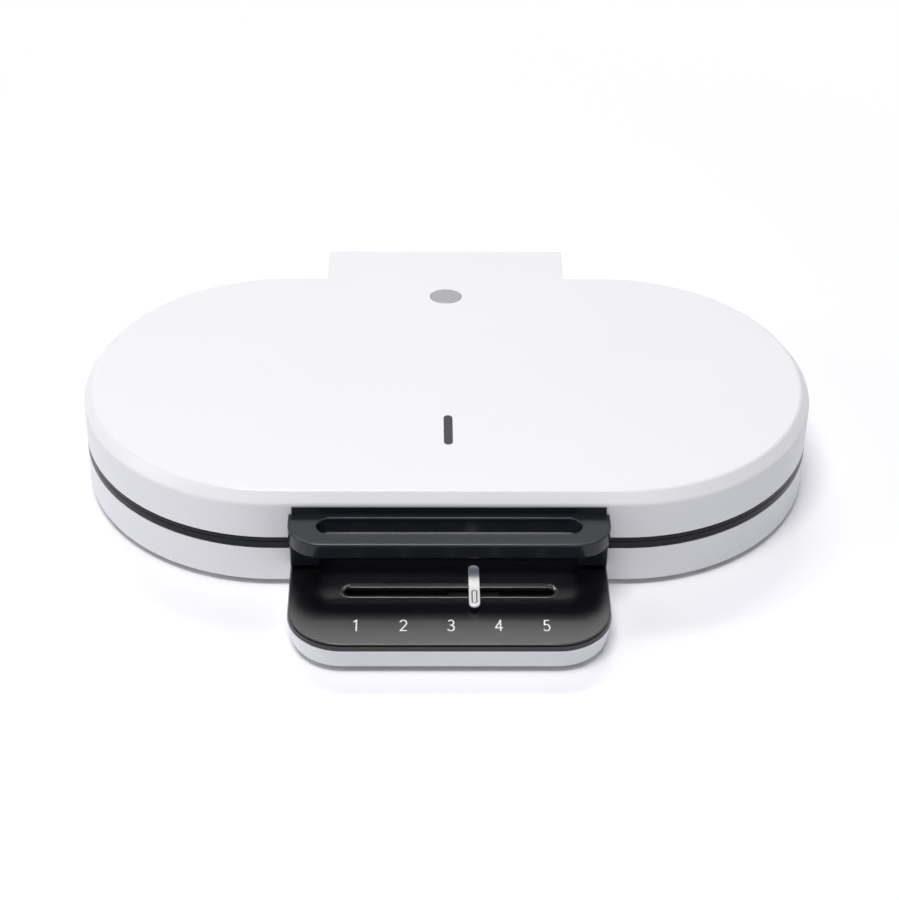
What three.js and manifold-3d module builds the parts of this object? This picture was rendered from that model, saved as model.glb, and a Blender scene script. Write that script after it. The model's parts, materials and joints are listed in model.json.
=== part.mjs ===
// Double waffle maker, in millimetres, +Z up, standing on its four feet at z = 0.
// X runs along the long oval, -Y points to the control panel and +Y to the hinge.
// The pieces are drawn about the middle of the oval body; the whole is then moved along Y
// so that the origin lies under the centre of the outline.
import * as THREE from 'three';
import { mergeVertices } from 'three/addons/utils/BufferGeometryUtils.js';
import Module from 'manifold-3d';

const wasm = await Module();
wasm.setup();

// Driving dimensions of the body
const bodyRadius = 125;
const bodyHalfStraight = 106;
const boxReach = 82;
const tongueReach = 30;
const footHeight = 4;
const baseWallHeight = 24.9;
const lowerBandHeight = 5.2;
const upperBandHeight = 3.2;
const lidHeight = 31.7;
const wall = 2.6;
const chamferIn = 5.7;
const chamferDrop = 6.9;

// Clearances and cutting overruns
const gap = 0.3;
const overrun = 2;

// Reaches from the middle of the oval and levels, worked out from the sizes above
const frontReach = bodyRadius + boxReach;
const rearReach = bodyRadius + tongueReach;
const baseBottomZ = footHeight;
const baseTopZ = baseBottomZ + baseWallHeight;
const partingZ = baseTopZ + lowerBandHeight;
const lidBottomZ = partingZ + upperBandHeight;
const lidTopZ = lidBottomZ + lidHeight;

// Frames, the two dark bands that hold the plates
const bandWidth = 7.4;
const ledgeWidth = 6;
const ledgeThickness = 2;
const collarHeight = 7;
const collarWidth = 2.4;
const rimThickness = 3;

// Waffle plates: two rosettes of five hearts on each
const heartsPerRosette = 5;
const rosetteInset = 28;
const rosetteRadius = bodyRadius - rosetteInset;
const lobeShare = 0.2474;
const lobeRadius = rosetteRadius * lobeShare;
const ridgeWidth = 4.4;
const cavityDepth = 8;
const cavityDraft = 1.3;
const plateDepth = 10.9;
const studDepth = 2.2;
const studPitch = 17.2;
const studFoot = 11.6;
const studTop = 7.6;
const studMargin = 0.3;
const gutterClear = 4.5;
const gutterRadius = rosetteRadius + gutterClear;
const gutterWidth = 4;
const gutterDepth = 1.6;
const ridgeDrop = 2.6;
const pillarRadius = 4;

// Handle
const handleHalfWidth = 96;
const handleReach = 30.3;
const handleTopDrop = 13.5;
const handleThickness = 10;
const handleCornerRadius = 20;
const handleBevel = 1;
const flangeTopDrop = 8.6;
const flangeInset = 2;
const flangeHalfWidth = handleHalfWidth - flangeInset;
const flangeDepth = 2.4;
const gripSlotInset = 17.5;
const gripSlotHalfLength = handleHalfWidth - gripSlotInset;
const gripSlotWidth = 14.7;
const gripSlotCentre = 12;
const armInset = 1;
const armOuter = handleHalfWidth - armInset;
const armInner = gripSlotHalfLength - armInset;
const armReach = 11;
const apronBottomDrop = 45;
const apronBarHeight = 9;
const apronBarThickness = 2.2;

// Control box and panel
const panelInset = 0.4;
const panelHalfWidth = handleHalfWidth - panelInset;
const panelCornerRadius = 33;
const panelTopDrop = 46.3;
const panelEdge = 4.5;
const panelSkin = 2.2;
const panelRim = 2.4;
const panelBevel = 0.8;
const boxTaper = 2.2;

// Slider
const slotHalfLength = 62.4;
const slotWidth = 7.4;
const slotOffset = 32.7;
const slotCentre = bodyRadius + slotOffset;
const bezelRim = 2.9;
const bezelHeight = 0.6;
const bezelSinkShare = 1 / 3;
const bezelLip = 0.7;
const bezelSlopeDepth = 1.1;
const bezelThroat = 1.5;
const slotEndClear = 6.4;
const sliderHalfTravel = slotHalfLength - slotEndClear;
const sliderRest = 14.7;
const knobWidth = 6.5;
const knobLength = 38;
const knobHeight = 3.3;
const knobEdge = 0.6;
const knobMarkWidth = 2.6;
const knobMarkLength = 10.4;
const knobMarkDepth = 0.5;
const stemLength = 5;
const stemWidth = 6.2;
const carriageLength = 30;
const carriageWidth = 18;
const carriageThickness = 5;
const carriageDrop = 3;
const socketDepth = 3.4;
const pinRadius = 2.2;
const pinBuryShare = 0.17;
const guideWall = 2.6;
const guideLip = 2.8;
const guideLipHeight = 1.8;
const guideOverhang = 11.6;
const guideHalfLength = slotHalfLength + guideOverhang;

// Thermostat, its shaft and the forked lever that the slider moves
const leverLength = 85.7;
const thermostatSetback = slotCentre - leverLength;
const thermostatRadius = 16;
const thermostatHeight = 11.4;
const thermostatStep = 3;
const shaftRadius = 3;
const shaftBoreDepth = 5;
const shaftBottomZ = 7;
const leverThickness = 1.8;
const leverLift = 0.8;
const leverHubRadius = 8;
const leverArmWidth = 11;
const leverForkWidth = 19;
const leverSlotWidth = 8.6;
const leverEndMargin = 20.3;
const leverEndReach = leverLength + leverEndMargin;
const leverTurnShare = 1.026;
const leverSweep = Math.atan(sliderHalfTravel / leverLength) * leverTurnShare;

// Heating elements and reflectors
const elementRadius = 3.2;
const elementClear = 6;
const elementLoop = thermostatSetback - thermostatRadius - elementClear;
const elementBend = 9;
const elementEndSpread = 14;
const elementEndInset = 49;
const elementEndReach = bodyRadius - elementEndInset;
const reflectorThickness = 0.8;
const reflectorLip = 4.2;
const reflectorInset = 6;
const reflectorDrop = 1.4;
const reflectorOpening = 23;
const bracketThickness = 1.1;
const bracketWidth = 9;
const bracketLegX = 19;
const bracketFoot = 7;

// Hinge
const hingeHalfWidth = 80;
const hingeOffset = 16;
const hingeSetback = bodyRadius + hingeOffset;
const cheekOffset = 2;
const cheekStart = bodyRadius + cheekOffset;
const cheekBossRadius = 8;
const cheekBossLength = 6;
const socketShare = 1 / 3;
const hingePinRadius = 3;
const bushWall = 1.4;
const lugThickness = 6;
const lugRadius = 8;
const lugLeaveShare = 5 / 6;
const lugFootDepth = 10;
const lugFootEnd = cheekStart + lugFootDepth;
const lugFlangeLength = 20;
const lugFlangeThickness = 2.4;
const housingHalfWidth = 75;
const housingDepth = 25;
const housingReach = bodyRadius + housingDepth;
const housingHeight = 15;
const housingCorner = 8;

// Base cover, feet and screws
const coverThickness = 2.4;
const coverRecess = 0.4;
const ventCount = 7;
const ventPitch = 11;
const ventLength = 46;
const ventWidth = 3.4;
const footRadius = 9;
const frontFootOffset = 24;
const frontFootInset = 41;
const rearFootX = 60;
const rearFootInset = 14;
const footFlare = 1.5;
const footPlugRadius = 3.2;
const screwHeadRadius = 3;
const screwHeadHeight = 1.8;
const screwShankRadius = 1.5;
const screwDriveRadius = 1;
const screwDriveDepth = 1;
const coverScrewLength = 7;
const postHeight = 7;
const postBury = 0.6;
const postAngleShare = 1 / 9;
const plateScrewBite = 1.6;
const handleScrewLength = 9;
const postRadius = 3.9;

// Lamp, lens, disc, fuse, terminals and cord gland
const lensWidth = 4.9;
const lensLength = 30.6;
const lensInset = 67;
const lensProud = 0.2;
const lensFlange = 1.6;
const lensFlangeThickness = 1.2;
const lampRadius = 2.4;
const lampLength = 14;
const holderWall = 1.4;
const holderHeight = 11;
const discHalfX = 10.4;
const discHalfY = 8.5;
const discInset = 28.5;
const discSetback = bodyRadius - discInset;
const discThickness = 0.9;
const discProud = 0.2;
const fuseRadius = 2.2;
const fuseLength = 17;
const fuseX = 34;
const fuseOffset = 16;
const fuseY = elementLoop + fuseOffset;
const fuseClipWall = 1;
const fuseClipLength = 5;
const fuseClipFoot = 4;
const terminalX = 8;
const terminalInset = 14;
const terminalSetback = housingReach - terminalInset;
const terminalWidth = 34;
const terminalDepth = 15;
const terminalHeight = 8.6;
const terminalHoles = 3;
const terminalHoleRadius = 2.2;
const glandX = 52;
const glandRadius = 4.3;
const glandBoreRadius = 3.1;
const glandFlange = 2.4;
const glandFlangeThickness = 1.4;
const glandBarrel = 9;
const glandZ = 11.6;

// Angles
const quarterTurn = Math.PI / 2;
const halfTurn = Math.PI;
const fullTurn = Math.PI * 2;

// Facet counts
const bodyArcSteps = 16;
const pillArcSteps = 6;
const cornerSteps = 7;
const lobeSteps = 6;
const roundSteps = 16;
const gutterSteps = 30;
const smallRoundSteps = 10;
const rodSides = 6;
const rodSteps = 36;
const screwSides = 8;
const driveSides = 4;

const finish = {
  whitePlastic: { color: 0xeef0f3, roughness: 0.42, metalness: 0 },
  blackPlastic: { color: 0x1b1d20, roughness: 0.3, metalness: 0 },
  blackPanel: { color: 0x141416, roughness: 0.22, metalness: 0 },
  castPlate: { color: 0x2c2c2e, roughness: 0.5, metalness: 0.3 },
  steel: { color: 0xa9abae, roughness: 0.35, metalness: 1 },
  bareAluminium: { color: 0xc9cbce, roughness: 0.4, metalness: 1 },
  knobMetal: { color: 0xe6e7e8, roughness: 0.2, metalness: 0.8 },
  discMetal: { color: 0xb9babc, roughness: 0.35, metalness: 0.8 },
  smokedLens: { color: 0x202226, roughness: 0.1, metalness: 0 },
  lampGlass: { color: 0xc85a3c, roughness: 0.15, metalness: 0 },
  ceramic: { color: 0xe6dfd2, roughness: 0.6, metalness: 0 },
  darkPlastic: { color: 0x26282b, roughness: 0.5, metalness: 0 },
  rubber: { color: 0x2a2a2b, roughness: 0.85, metalness: 0 },
};

const assembly = new THREE.Group();
const body = new THREE.Group();
body.position.y = (frontReach - rearReach) / 2;
assembly.add(body);

function piece(name, geometry, look, parent = body) {
  const mesh = new THREE.Mesh(geometry, new THREE.MeshStandardMaterial(look));
  mesh.name = name;
  parent.add(mesh);
  return mesh;
}

// Solids from closed geometries, and back
function solid(geometry) {
  const bare = geometry.clone();
  bare.deleteAttribute('normal');
  bare.deleteAttribute('uv');
  const merged = mergeVertices(bare);
  const vertProperties = new Float32Array(merged.attributes.position.array);
  const corners = merged.index.array;
  const kept = [];
  for (let i = 0; i < corners.length; i += 3) {
    const [a, b, c] = [corners[i], corners[i + 1], corners[i + 2]];
    if (a !== b && b !== c && c !== a) kept.push(a, b, c);
  }
  const triVerts = new Uint32Array(kept);
  return new wasm.Manifold(new wasm.Mesh({ numProp: 3, vertProperties, triVerts }));
}

function geometryOf(manifold) {
  const mesh = manifold.getMesh();
  const geometry = new THREE.BufferGeometry();
  geometry.setAttribute('position', new THREE.BufferAttribute(mesh.vertProperties, 3));
  geometry.setIndex(new THREE.BufferAttribute(mesh.triVerts, 1));
  geometry.computeVertexNormals();
  return geometry;
}

function cut(geometry, ...tools) {
  return geometryOf(tools.reduce((rest, tool) => rest.subtract(solid(tool)), solid(geometry)));
}

function join(...geometries) {
  const [first, ...others] = geometries.map(solid);
  return geometryOf(others.reduce((sum, other) => sum.add(other), first));
}

// Basic forms
function block(x0, x1, y0, y1, z0, z1) {
  const geometry = new THREE.BoxGeometry(x1 - x0, y1 - y0, z1 - z0);
  return geometry.translate((x0 + x1) / 2, (y0 + y1) / 2, (z0 + z1) / 2);
}

function turned(points, steps = roundSteps) {
  const profile = points.map(([radius, z]) => new THREE.Vector2(radius, z));
  return new THREE.LatheGeometry(profile, steps).rotateX(quarterTurn);
}

function rod(radius, z0, z1, steps = roundSteps) {
  return turned([[0, z0], [radius, z0], [radius, z1], [0, z1]], steps);
}

// A shape drawn in Y and Z, made thick along X
function alongX(shape, x0, x1, curveSegments = cornerSteps) {
  const options = { depth: x1 - x0, bevelEnabled: false, curveSegments };
  const geometry = new THREE.ExtrudeGeometry(shape, options);
  const yAxis = new THREE.Vector3(0, 1, 0);
  const zAxis = new THREE.Vector3(0, 0, 1);
  const xAxis = new THREE.Vector3(1, 0, 0);
  geometry.applyMatrix4(new THREE.Matrix4().makeBasis(yAxis, zAxis, xAxis));
  return geometry.translate(x0, 0, 0);
}

// Outlines, all counterclockwise seen from above
function arcPoints(centreX, centreY, radius, from, to, steps) {
  const points = [];
  for (let i = 0; i <= steps; i += 1) {
    const angle = from + ((to - from) * i) / steps;
    points.push(new THREE.Vector2(centreX + radius * Math.cos(angle), centreY + radius * Math.sin(angle)));
  }
  return points;
}

function oval(radius, halfStraight = bodyHalfStraight, steps = bodyArcSteps) {
  return [
    ...arcPoints(halfStraight, 0, radius, -quarterTurn, quarterTurn, steps),
    ...arcPoints(-halfStraight, 0, radius, quarterTurn, halfTurn + quarterTurn, steps),
  ];
}

function moved(outline, x, y) {
  return outline.map((p) => new THREE.Vector2(p.x + x, p.y + y));
}

function quarterTurned(outline) {
  return outline.map((p) => new THREE.Vector2(-p.y, p.x));
}

function pill(halfLength, width, y = 0) {
  return moved(oval(width / 2, halfLength - width / 2, pillArcSteps), 0, y);
}

function roundFront(halfWidth, frontY, rearY, radius) {
  const centreX = halfWidth - radius;
  const centreY = frontY + radius;
  return [
    ...arcPoints(-centreX, centreY, radius, -halfTurn, -quarterTurn, cornerSteps),
    ...arcPoints(centreX, centreY, radius, -quarterTurn, 0, cornerSteps),
    new THREE.Vector2(halfWidth, rearY),
    new THREE.Vector2(-halfWidth, rearY),
  ];
}

// A closed body through outlines with the same number of points, each at its own level
function loft(sections) {
  const count = sections[0].outline.length;
  const positions = [];
  const index = [];
  for (const { outline, z } of sections) {
    for (const p of outline) positions.push(p.x, p.y, z);
  }
  for (let s = 0; s + 1 < sections.length; s += 1) {
    for (let i = 0; i < count; i += 1) {
      const a = s * count + i;
      const b = s * count + ((i + 1) % count);
      index.push(a, b, b + count, a, b + count, a + count);
    }
  }
  const top = (sections.length - 1) * count;
  for (const [a, b, c] of THREE.ShapeUtils.triangulateShape(sections[0].outline, [])) {
    index.push(a, c, b);
  }
  for (const [a, b, c] of THREE.ShapeUtils.triangulateShape(sections.at(-1).outline, [])) {
    index.push(top + a, top + b, top + c);
  }
  const geometry = new THREE.BufferGeometry();
  geometry.setAttribute('position', new THREE.Float32BufferAttribute(positions, 3));
  geometry.setIndex(index);
  return geometry;
}

function slab(outline, z0, z1) {
  return loft([{ outline, z: z0 }, { outline, z: z1 }]);
}

// A closed ring: a section of [radius, z] points, counterclockwise, swept round the oval
function ovalRing(section) {
  const rings = section.map(([radius, z]) => oval(radius).map((p) => [p.x, p.y, z]));
  const count = rings[0].length;
  const index = [];
  for (let s = 0; s < rings.length; s += 1) {
    const next = (s + 1) % rings.length;
    for (let i = 0; i < count; i += 1) {
      const j = (i + 1) % count;
      const [a, b, c, d] = [s * count + i, s * count + j, next * count + j, next * count + i];
      index.push(a, b, c, a, c, d);
    }
  }
  const geometry = new THREE.BufferGeometry();
  geometry.setAttribute('position', new THREE.Float32BufferAttribute(rings.flat(2), 3));
  geometry.setIndex(index);
  return geometry;
}

// The lid lies over the base as its mirror image does: turned half a turn about the Y line
// through the parting level
function overParting(geometry) {
  return geometry.translate(0, 0, -partingZ).rotateY(halfTurn).translate(0, 0, partingZ);
}

// Screw with its head down and its shank up, the head's seat at z = 0
function screw(length) {
  const head = [
    [0, -screwHeadHeight], [screwHeadRadius, -screwHeadHeight], [screwHeadRadius, 0],
    [screwShankRadius, 0], [screwShankRadius, length], [0, length],
  ];
  const driveTopZ = screwDriveDepth - screwHeadHeight;
  const drive = rod(screwDriveRadius, -screwHeadHeight - overrun, driveTopZ, driveSides);
  return cut(turned(head, screwSides), drive);
}

// Lid shell: chamfered oval cap with the hinge tongue on its back
const innerRadius = bodyRadius - wall;
const tongueStart = bodyRadius - chamferIn - wall * 2;
const hingeZ = partingZ;
const cheekRadius = rearReach - hingeSetback;
const cheekInner = hingeHalfWidth - wall;
const bossInner = cheekInner - cheekBossLength;
const socketReach = cheekInner + wall * socketShare;

function lidCap() {
  return loft([
    { outline: oval(bodyRadius), z: lidBottomZ },
    { outline: oval(bodyRadius), z: lidTopZ - chamferDrop },
    { outline: oval(bodyRadius - chamferIn), z: lidTopZ },
  ]);
}

function lidHollow() {
  return loft([
    { outline: oval(innerRadius), z: lidBottomZ - overrun },
    { outline: oval(innerRadius), z: lidTopZ - chamferDrop },
    { outline: oval(innerRadius - chamferIn), z: lidTopZ - wall },
  ]);
}

function cheekShape() {
  const shape = new THREE.Shape();
  const startAngle = halfTurn + Math.acos((hingeSetback - cheekStart) / cheekRadius);
  const startZ = hingeZ + cheekRadius * Math.sin(startAngle);
  shape.moveTo(tongueStart, lidBottomZ);
  shape.lineTo(cheekStart, lidBottomZ);
  shape.lineTo(hingeSetback + cheekRadius * Math.cos(startAngle), startZ);
  shape.absarc(hingeSetback, hingeZ, cheekRadius, startAngle, fullTurn, false);
  shape.lineTo(rearReach, lidTopZ);
  shape.lineTo(tongueStart, lidTopZ);
  shape.closePath();
  return shape;
}

function bossAt(side) {
  const length = cheekBossLength + wall / 2;
  const boss = rod(cheekBossRadius, 0, length).rotateY(quarterTurn);
  const start = side > 0 ? bossInner : -bossInner - length;
  return boss.translate(start, hingeSetback, hingeZ);
}

function pinSocket() {
  const socket = rod(hingePinRadius + gap, -socketReach, socketReach).rotateY(quarterTurn);
  return socket.translate(0, hingeSetback, hingeZ);
}

const lensY = lensInset - bodyRadius;
const lensOutline = moved(quarterTurned(pill(lensLength / 2, lensWidth)), 0, lensY);
const lensHole = moved(quarterTurned(pill(lensLength / 2 + gap, lensWidth + gap * 2)), 0, lensY);
const discOutline = (grow) => {
  const ring = arcPoints(0, 0, 1, 0, fullTurn, roundSteps).slice(0, -1);
  const [halfX, halfY] = [discHalfX + grow, discHalfY + grow];
  return ring.map((p) => new THREE.Vector2(p.x * halfX, discSetback + p.y * halfY));
};
const handleFloorY = -bodyRadius - gap;
const handleTopZ = lidTopZ - handleTopDrop;
const handleBottomZ = handleTopZ - handleThickness;
const handleScrewZ = (handleTopZ + handleBottomZ) / 2;
const handleScrewX = (gripSlotHalfLength + handleHalfWidth) / 2;
const lidCeilingZ = lidTopZ - wall;

function holeAlongY(x, y0, y1, z, radius = screwShankRadius + gap) {
  return rod(radius, y0, y1, smallRoundSteps).rotateX(-quarterTurn).translate(x, 0, z);
}

function lidShell() {
  const lowZ = hingeZ - cheekRadius - overrun;
  const tongueHollow = block(
    -cheekInner, cheekInner, tongueStart - chamferIn, rearReach - wall, lowZ, lidCeilingZ,
  );
  const cheeks = alongX(cheekShape(), -hingeHalfWidth, hingeHalfWidth, roundSteps);
  const rearTrim = block(
    -cheekInner, cheekInner, cheekStart - overrun, rearReach + overrun, lowZ, hingeZ + gap,
  );
  const shell = join(lidCap(), cheeks);
  const hollow = cut(shell, lidHollow(), tongueHollow, rearTrim);
  const bossed = join(hollow, bossAt(1), bossAt(-1));
  return cut(
    bossed,
    pinSocket(),
    slab(lensHole, lidCeilingZ - overrun, lidTopZ + overrun),
    slab(discOutline(gap), lidTopZ - discThickness + discProud - gap, lidTopZ + overrun),
    ...[-1, 1].map((side) => {
      return holeAlongY(side * handleScrewX, -bodyRadius - overrun, -innerRadius + overrun, handleScrewZ);
    }),
  );
}

piece('lid_shell', lidShell(), finish.whitePlastic);

// Frames: an outer band, a ledge that carries the plate and a collar inside the shell
const plateRimRadius = bodyRadius - bandWidth - gap;
const bandInner = bodyRadius - bandWidth;
const ledgeInner = bandInner - ledgeWidth;
const plateScrewReach = (bandInner + ledgeInner) / 2;
const ledgeZ = partingZ - gap / 2 - rimThickness - gap;
const collarOuter = innerRadius - gap;
const collarInner = collarOuter - collarWidth;

function frameRing(bandHeight) {
  const bandBottom = partingZ - bandHeight + gap;
  const ledgeBottom = Math.min(ledgeZ - ledgeThickness, bandBottom);
  const collarBottom = ledgeBottom - collarHeight;
  return ovalRing([
    [bodyRadius, bandBottom],
    [bodyRadius, partingZ - gap / 2],
    [bandInner, partingZ - gap / 2],
    [bandInner, ledgeZ],
    [ledgeInner, ledgeZ],
    [ledgeInner, ledgeZ - ledgeThickness],
    [collarInner, ledgeZ - ledgeThickness],
    [collarInner, collarBottom],
    [collarOuter, collarBottom],
    [collarOuter, bandBottom],
  ]);
}

// Waffle plate, drawn for the base: land at the top, cavities open upwards
const heartAngle = fullTurn / heartsPerRosette;
const lobeCentre = rosetteRadius - lobeRadius;
const lobeAngle = heartAngle / 2 - Math.asin((lobeRadius + ridgeWidth / 2) / lobeCentre);

// One heart about the +X line from the rosette's centre, drawn in by inset
function heart(inset) {
  const radius = lobeRadius - inset;
  const cx = lobeCentre * Math.cos(lobeAngle);
  const cy = lobeCentre * Math.sin(lobeAngle);
  const notch = Math.acos(Math.min(1, cy / radius));
  const tip = (ridgeWidth / 2 + inset) / Math.sin(heartAngle / 2);
  const leave = heartAngle / 2 + quarterTurn;
  const right = arcPoints(cx, -cy, radius, -leave, quarterTurn - notch, lobeSteps);
  const left = arcPoints(cx, cy, radius, notch - quarterTurn, leave, lobeSteps);
  return [new THREE.Vector2(tip, 0), ...right, ...left.slice(1)];
}

function insideHeart(x, y, margin) {
  const cx = lobeCentre * Math.cos(lobeAngle);
  const cy = lobeCentre * Math.sin(lobeAngle);
  const side = Math.abs(y);
  const fromRidge = x * Math.sin(heartAngle / 2) - side * Math.cos(heartAngle / 2) - ridgeWidth / 2;
  const beyond = (x - cx) * Math.cos(lobeAngle) + (side - cy) * Math.sin(lobeAngle) > 0;
  const fromLobe = lobeRadius - Math.hypot(x - cx, side - cy);
  const nearNotch = side < cy && x > cx;
  const limit = beyond || nearNotch ? fromLobe : fromRidge;
  return Math.min(limit, fromRidge) > margin;
}

function turnedAbout(outline, angle, x, y) {
  const centre = new THREE.Vector2(0, 0);
  return outline.map((p) => p.clone().rotateAround(centre, angle).add(new THREE.Vector2(x, y)));
}

const squareCorners = [[-1, -1], [1, -1], [1, 1], [-1, 1]];
const studChecks = [...squareCorners, [1, 0]];
const plateTopZ = partingZ - gap / 2;
const plateScrewTopZ = ledgeZ + gap + plateScrewBite;
const ridgeReach = Math.sqrt(lobeCentre ** 2 - (lobeRadius + ridgeWidth / 2) ** 2);
const cavityFloorZ = plateTopZ - cavityDepth;
const studTopZ = plateTopZ - studDepth;
const plateBottomZ = partingZ - plateDepth;
const elementZ = plateBottomZ - gap - elementRadius;
const reflectorZ = elementZ - elementRadius - reflectorDrop;

function stud(x, y) {
  const foot = studFoot / 2;
  const top = studTop / 2;
  const square = (half) => squareCorners.map(([u, v]) => new THREE.Vector2(x + u * half, y + v * half));
  return loft([
    { outline: square(foot), z: cavityFloorZ - gap },
    { outline: square(top), z: studTopZ },
  ]);
}

// Stud places on a square grid about the heart's own line, kept where the whole foot fits
function studPlaces() {
  const places = [];
  const margin = cavityDraft + studMargin;
  const columns = Math.ceil(rosetteRadius / studPitch);
  for (let i = 0; i <= columns; i += 1) {
    for (let j = -columns; j <= columns; j += 1) {
      const x = lobeCentre + (i - columns / 2) * studPitch;
      const y = j * studPitch;
      const half = studFoot / 2;
      const fits = ([u, v]) => insideHeart(x + u * half, y + v * half, margin);
      if (studChecks.every(fits)) places.push([x, y]);
    }
  }
  return places;
}

function wafflePlate() {
  const pan = loft([
    { outline: oval(ledgeInner - gap - cavityDraft), z: plateBottomZ },
    { outline: oval(ledgeInner - gap), z: plateTopZ - rimThickness / 2 },
  ]);
  const rim = slab(oval(plateRimRadius), ledgeZ + gap, plateTopZ);
  let plate = solid(pan).add(solid(rim));
  const studs = studPlaces();
  for (const side of [-1, 1]) {
    const x = side * bodyHalfStraight;
    const gutterHalf = gutterWidth / 2;
    const gutter = turned([
      [gutterRadius - gutterHalf, plateTopZ + gap],
      [gutterRadius, plateTopZ - gutterDepth],
      [gutterRadius + gutterHalf, plateTopZ + gap],
      [gutterRadius - gutterHalf, plateTopZ + gap],
    ], gutterSteps);
    plate = plate.subtract(solid(gutter.translate(x, 0, 0)));
    const lowered = rod(ridgeReach, plateTopZ - ridgeDrop, plateTopZ + overrun, gutterSteps);
    plate = plate.subtract(solid(lowered.translate(x, 0, 0)));
    const pillar = rod(pillarRadius, reflectorZ + gap, plateBottomZ + wall / 2, smallRoundSteps);
    plate = plate.add(solid(pillar.translate(x, 0, 0)));
    for (let k = 0; k < heartsPerRosette; k += 1) {
      const angle = quarterTurn + k * heartAngle;
      const cavity = loft([
        { outline: turnedAbout(heart(cavityDraft), angle, x, 0), z: cavityFloorZ },
        { outline: turnedAbout(heart(0), angle, x, 0), z: plateTopZ },
        { outline: turnedAbout(heart(0), angle, x, 0), z: plateTopZ + overrun },
      ]);
      plate = plate.subtract(solid(cavity));
      for (const [u, v] of studs) {
        plate = plate.add(solid(stud(u, v).rotateZ(angle).translate(x, 0, 0)));
      }
    }
  }
  for (const [sx, sy] of squareCorners) {
    const hole = rod(screwShankRadius + gap, plateBottomZ, plateScrewTopZ + gap, smallRoundSteps);
    plate = plate.subtract(solid(hole.translate(sx * bodyHalfStraight, sy * plateScrewReach, 0)));
  }
  return geometryOf(plate);
}

function frame(bandHeight) {
  const holes = squareCorners.map(([sx, sy]) => {
    const hole = rod(screwShankRadius + gap, ledgeZ - collarHeight, ledgeZ + overrun, smallRoundSteps);
    return hole.translate(sx * bodyHalfStraight, sy * plateScrewReach, 0);
  });
  return cut(frameRing(bandHeight), ...holes);
}

const waffle = wafflePlate();
piece('lower_frame', frame(lowerBandHeight), finish.blackPlastic);
piece('lower_plate', waffle, finish.castPlate);
piece('upper_frame', overParting(frame(upperBandHeight)), finish.blackPlastic);
piece('upper_plate', overParting(waffle.clone()), finish.castPlate);

// Plate screws come up through the ledge from inside the shell
for (const level of ['lower', 'upper']) {
  squareCorners.forEach(([sx, sy], i) => {
    const seatZ = ledgeZ - ledgeThickness - gap;
    const geometry = screw(plateScrewTopZ - seatZ);
    geometry.translate(sx * bodyHalfStraight, sy * plateScrewReach, seatZ);
    const placed = level === 'upper' ? overParting(geometry) : geometry;
    piece(`${level}_plate_screw_${i + 1}`, placed, finish.steel);
  });
}

// Heating element: one bent tube with a loop under each rosette and both ends at the back
class FlatRoute extends THREE.Curve {
  constructor(path, z) {
    super();
    this.path = path;
    this.z = z;
  }

  getPoint(t) {
    const p = this.path.getPoint(t);
    return new THREE.Vector3(p.x, p.y, this.z);
  }
}

function elementGeometry() {
  const path = new THREE.Path();
  const bendX = elementEndSpread + elementBend;
  const bendY = elementLoop + elementBend;
  path.moveTo(-elementEndSpread, elementEndReach);
  path.lineTo(-elementEndSpread, bendY);
  path.absarc(-bendX, bendY, elementBend, 0, -quarterTurn, true);
  path.lineTo(-bodyHalfStraight, elementLoop);
  path.absarc(-bodyHalfStraight, 0, elementLoop, quarterTurn, halfTurn + quarterTurn, false);
  path.lineTo(bodyHalfStraight, -elementLoop);
  path.absarc(bodyHalfStraight, 0, elementLoop, -quarterTurn, quarterTurn, false);
  path.lineTo(bendX, elementLoop);
  path.absarc(bendX, bendY, elementBend, -quarterTurn, -halfTurn, true);
  path.lineTo(elementEndSpread, elementEndReach);
  const section = new THREE.Shape(arcPoints(0, 0, elementRadius, 0, fullTurn, rodSides).slice(0, -1));
  const extrudePath = new FlatRoute(path, elementZ);
  return new THREE.ExtrudeGeometry(section, { steps: rodSteps, extrudePath });
}

// Reflector: a thin dish behind the element, open round the thermostat
const reflectorRadius = collarInner - reflectorInset;

function reflectorGeometry(withThermostat) {
  const dish = slab(oval(reflectorRadius), reflectorZ - reflectorThickness, reflectorZ + reflectorLip);
  const insideRadius = reflectorRadius - reflectorThickness;
  const inside = slab(oval(insideRadius), reflectorZ, reflectorZ + reflectorLip + overrun);
  const opening = rod(reflectorOpening, reflectorZ - overrun, reflectorZ + overrun);
  opening.translate(0, -thermostatSetback, 0);
  return withThermostat ? cut(dish, inside, opening) : cut(dish, inside);
}

piece('lower_element', elementGeometry(), finish.steel);
piece('lower_reflector', reflectorGeometry(true), finish.bareAluminium);
piece('upper_element', overParting(elementGeometry()), finish.steel);
piece('upper_reflector', overParting(reflectorGeometry(false)), finish.bareAluminium);

// Handle grip: plate with round front corners, a flange on the lid's wall and a long slot right through
function handleGrip() {
  const frontY = -bodyRadius - handleReach;
  const outside = (inset) => roundFront(
    handleHalfWidth - inset, frontY + inset, handleFloorY, handleCornerRadius - inset,
  );
  const plate = loft([
    { outline: outside(0), z: handleBottomZ },
    { outline: outside(0), z: handleTopZ - handleBevel },
    { outline: outside(handleBevel), z: handleTopZ },
  ]);
  const flangeTopZ = lidTopZ - flangeTopDrop;
  const flange = block(
    -flangeHalfWidth, flangeHalfWidth, handleFloorY - flangeDepth, handleFloorY, handleBottomZ, flangeTopZ,
  );
  const slot = slab(
    pill(gripSlotHalfLength, gripSlotWidth, -bodyRadius - gripSlotCentre),
    handleBottomZ - overrun, handleTopZ + overrun,
  );
  const holes = [-1, 1].map((side) => {
    const deepest = -innerRadius - handleScrewLength - gap;
    return holeAlongY(side * handleScrewX, deepest, -bodyRadius + overrun, handleScrewZ);
  });
  return cut(join(plate, flange), slot, ...holes);
}

piece('handle_grip', handleGrip(), finish.blackPlastic);

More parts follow.
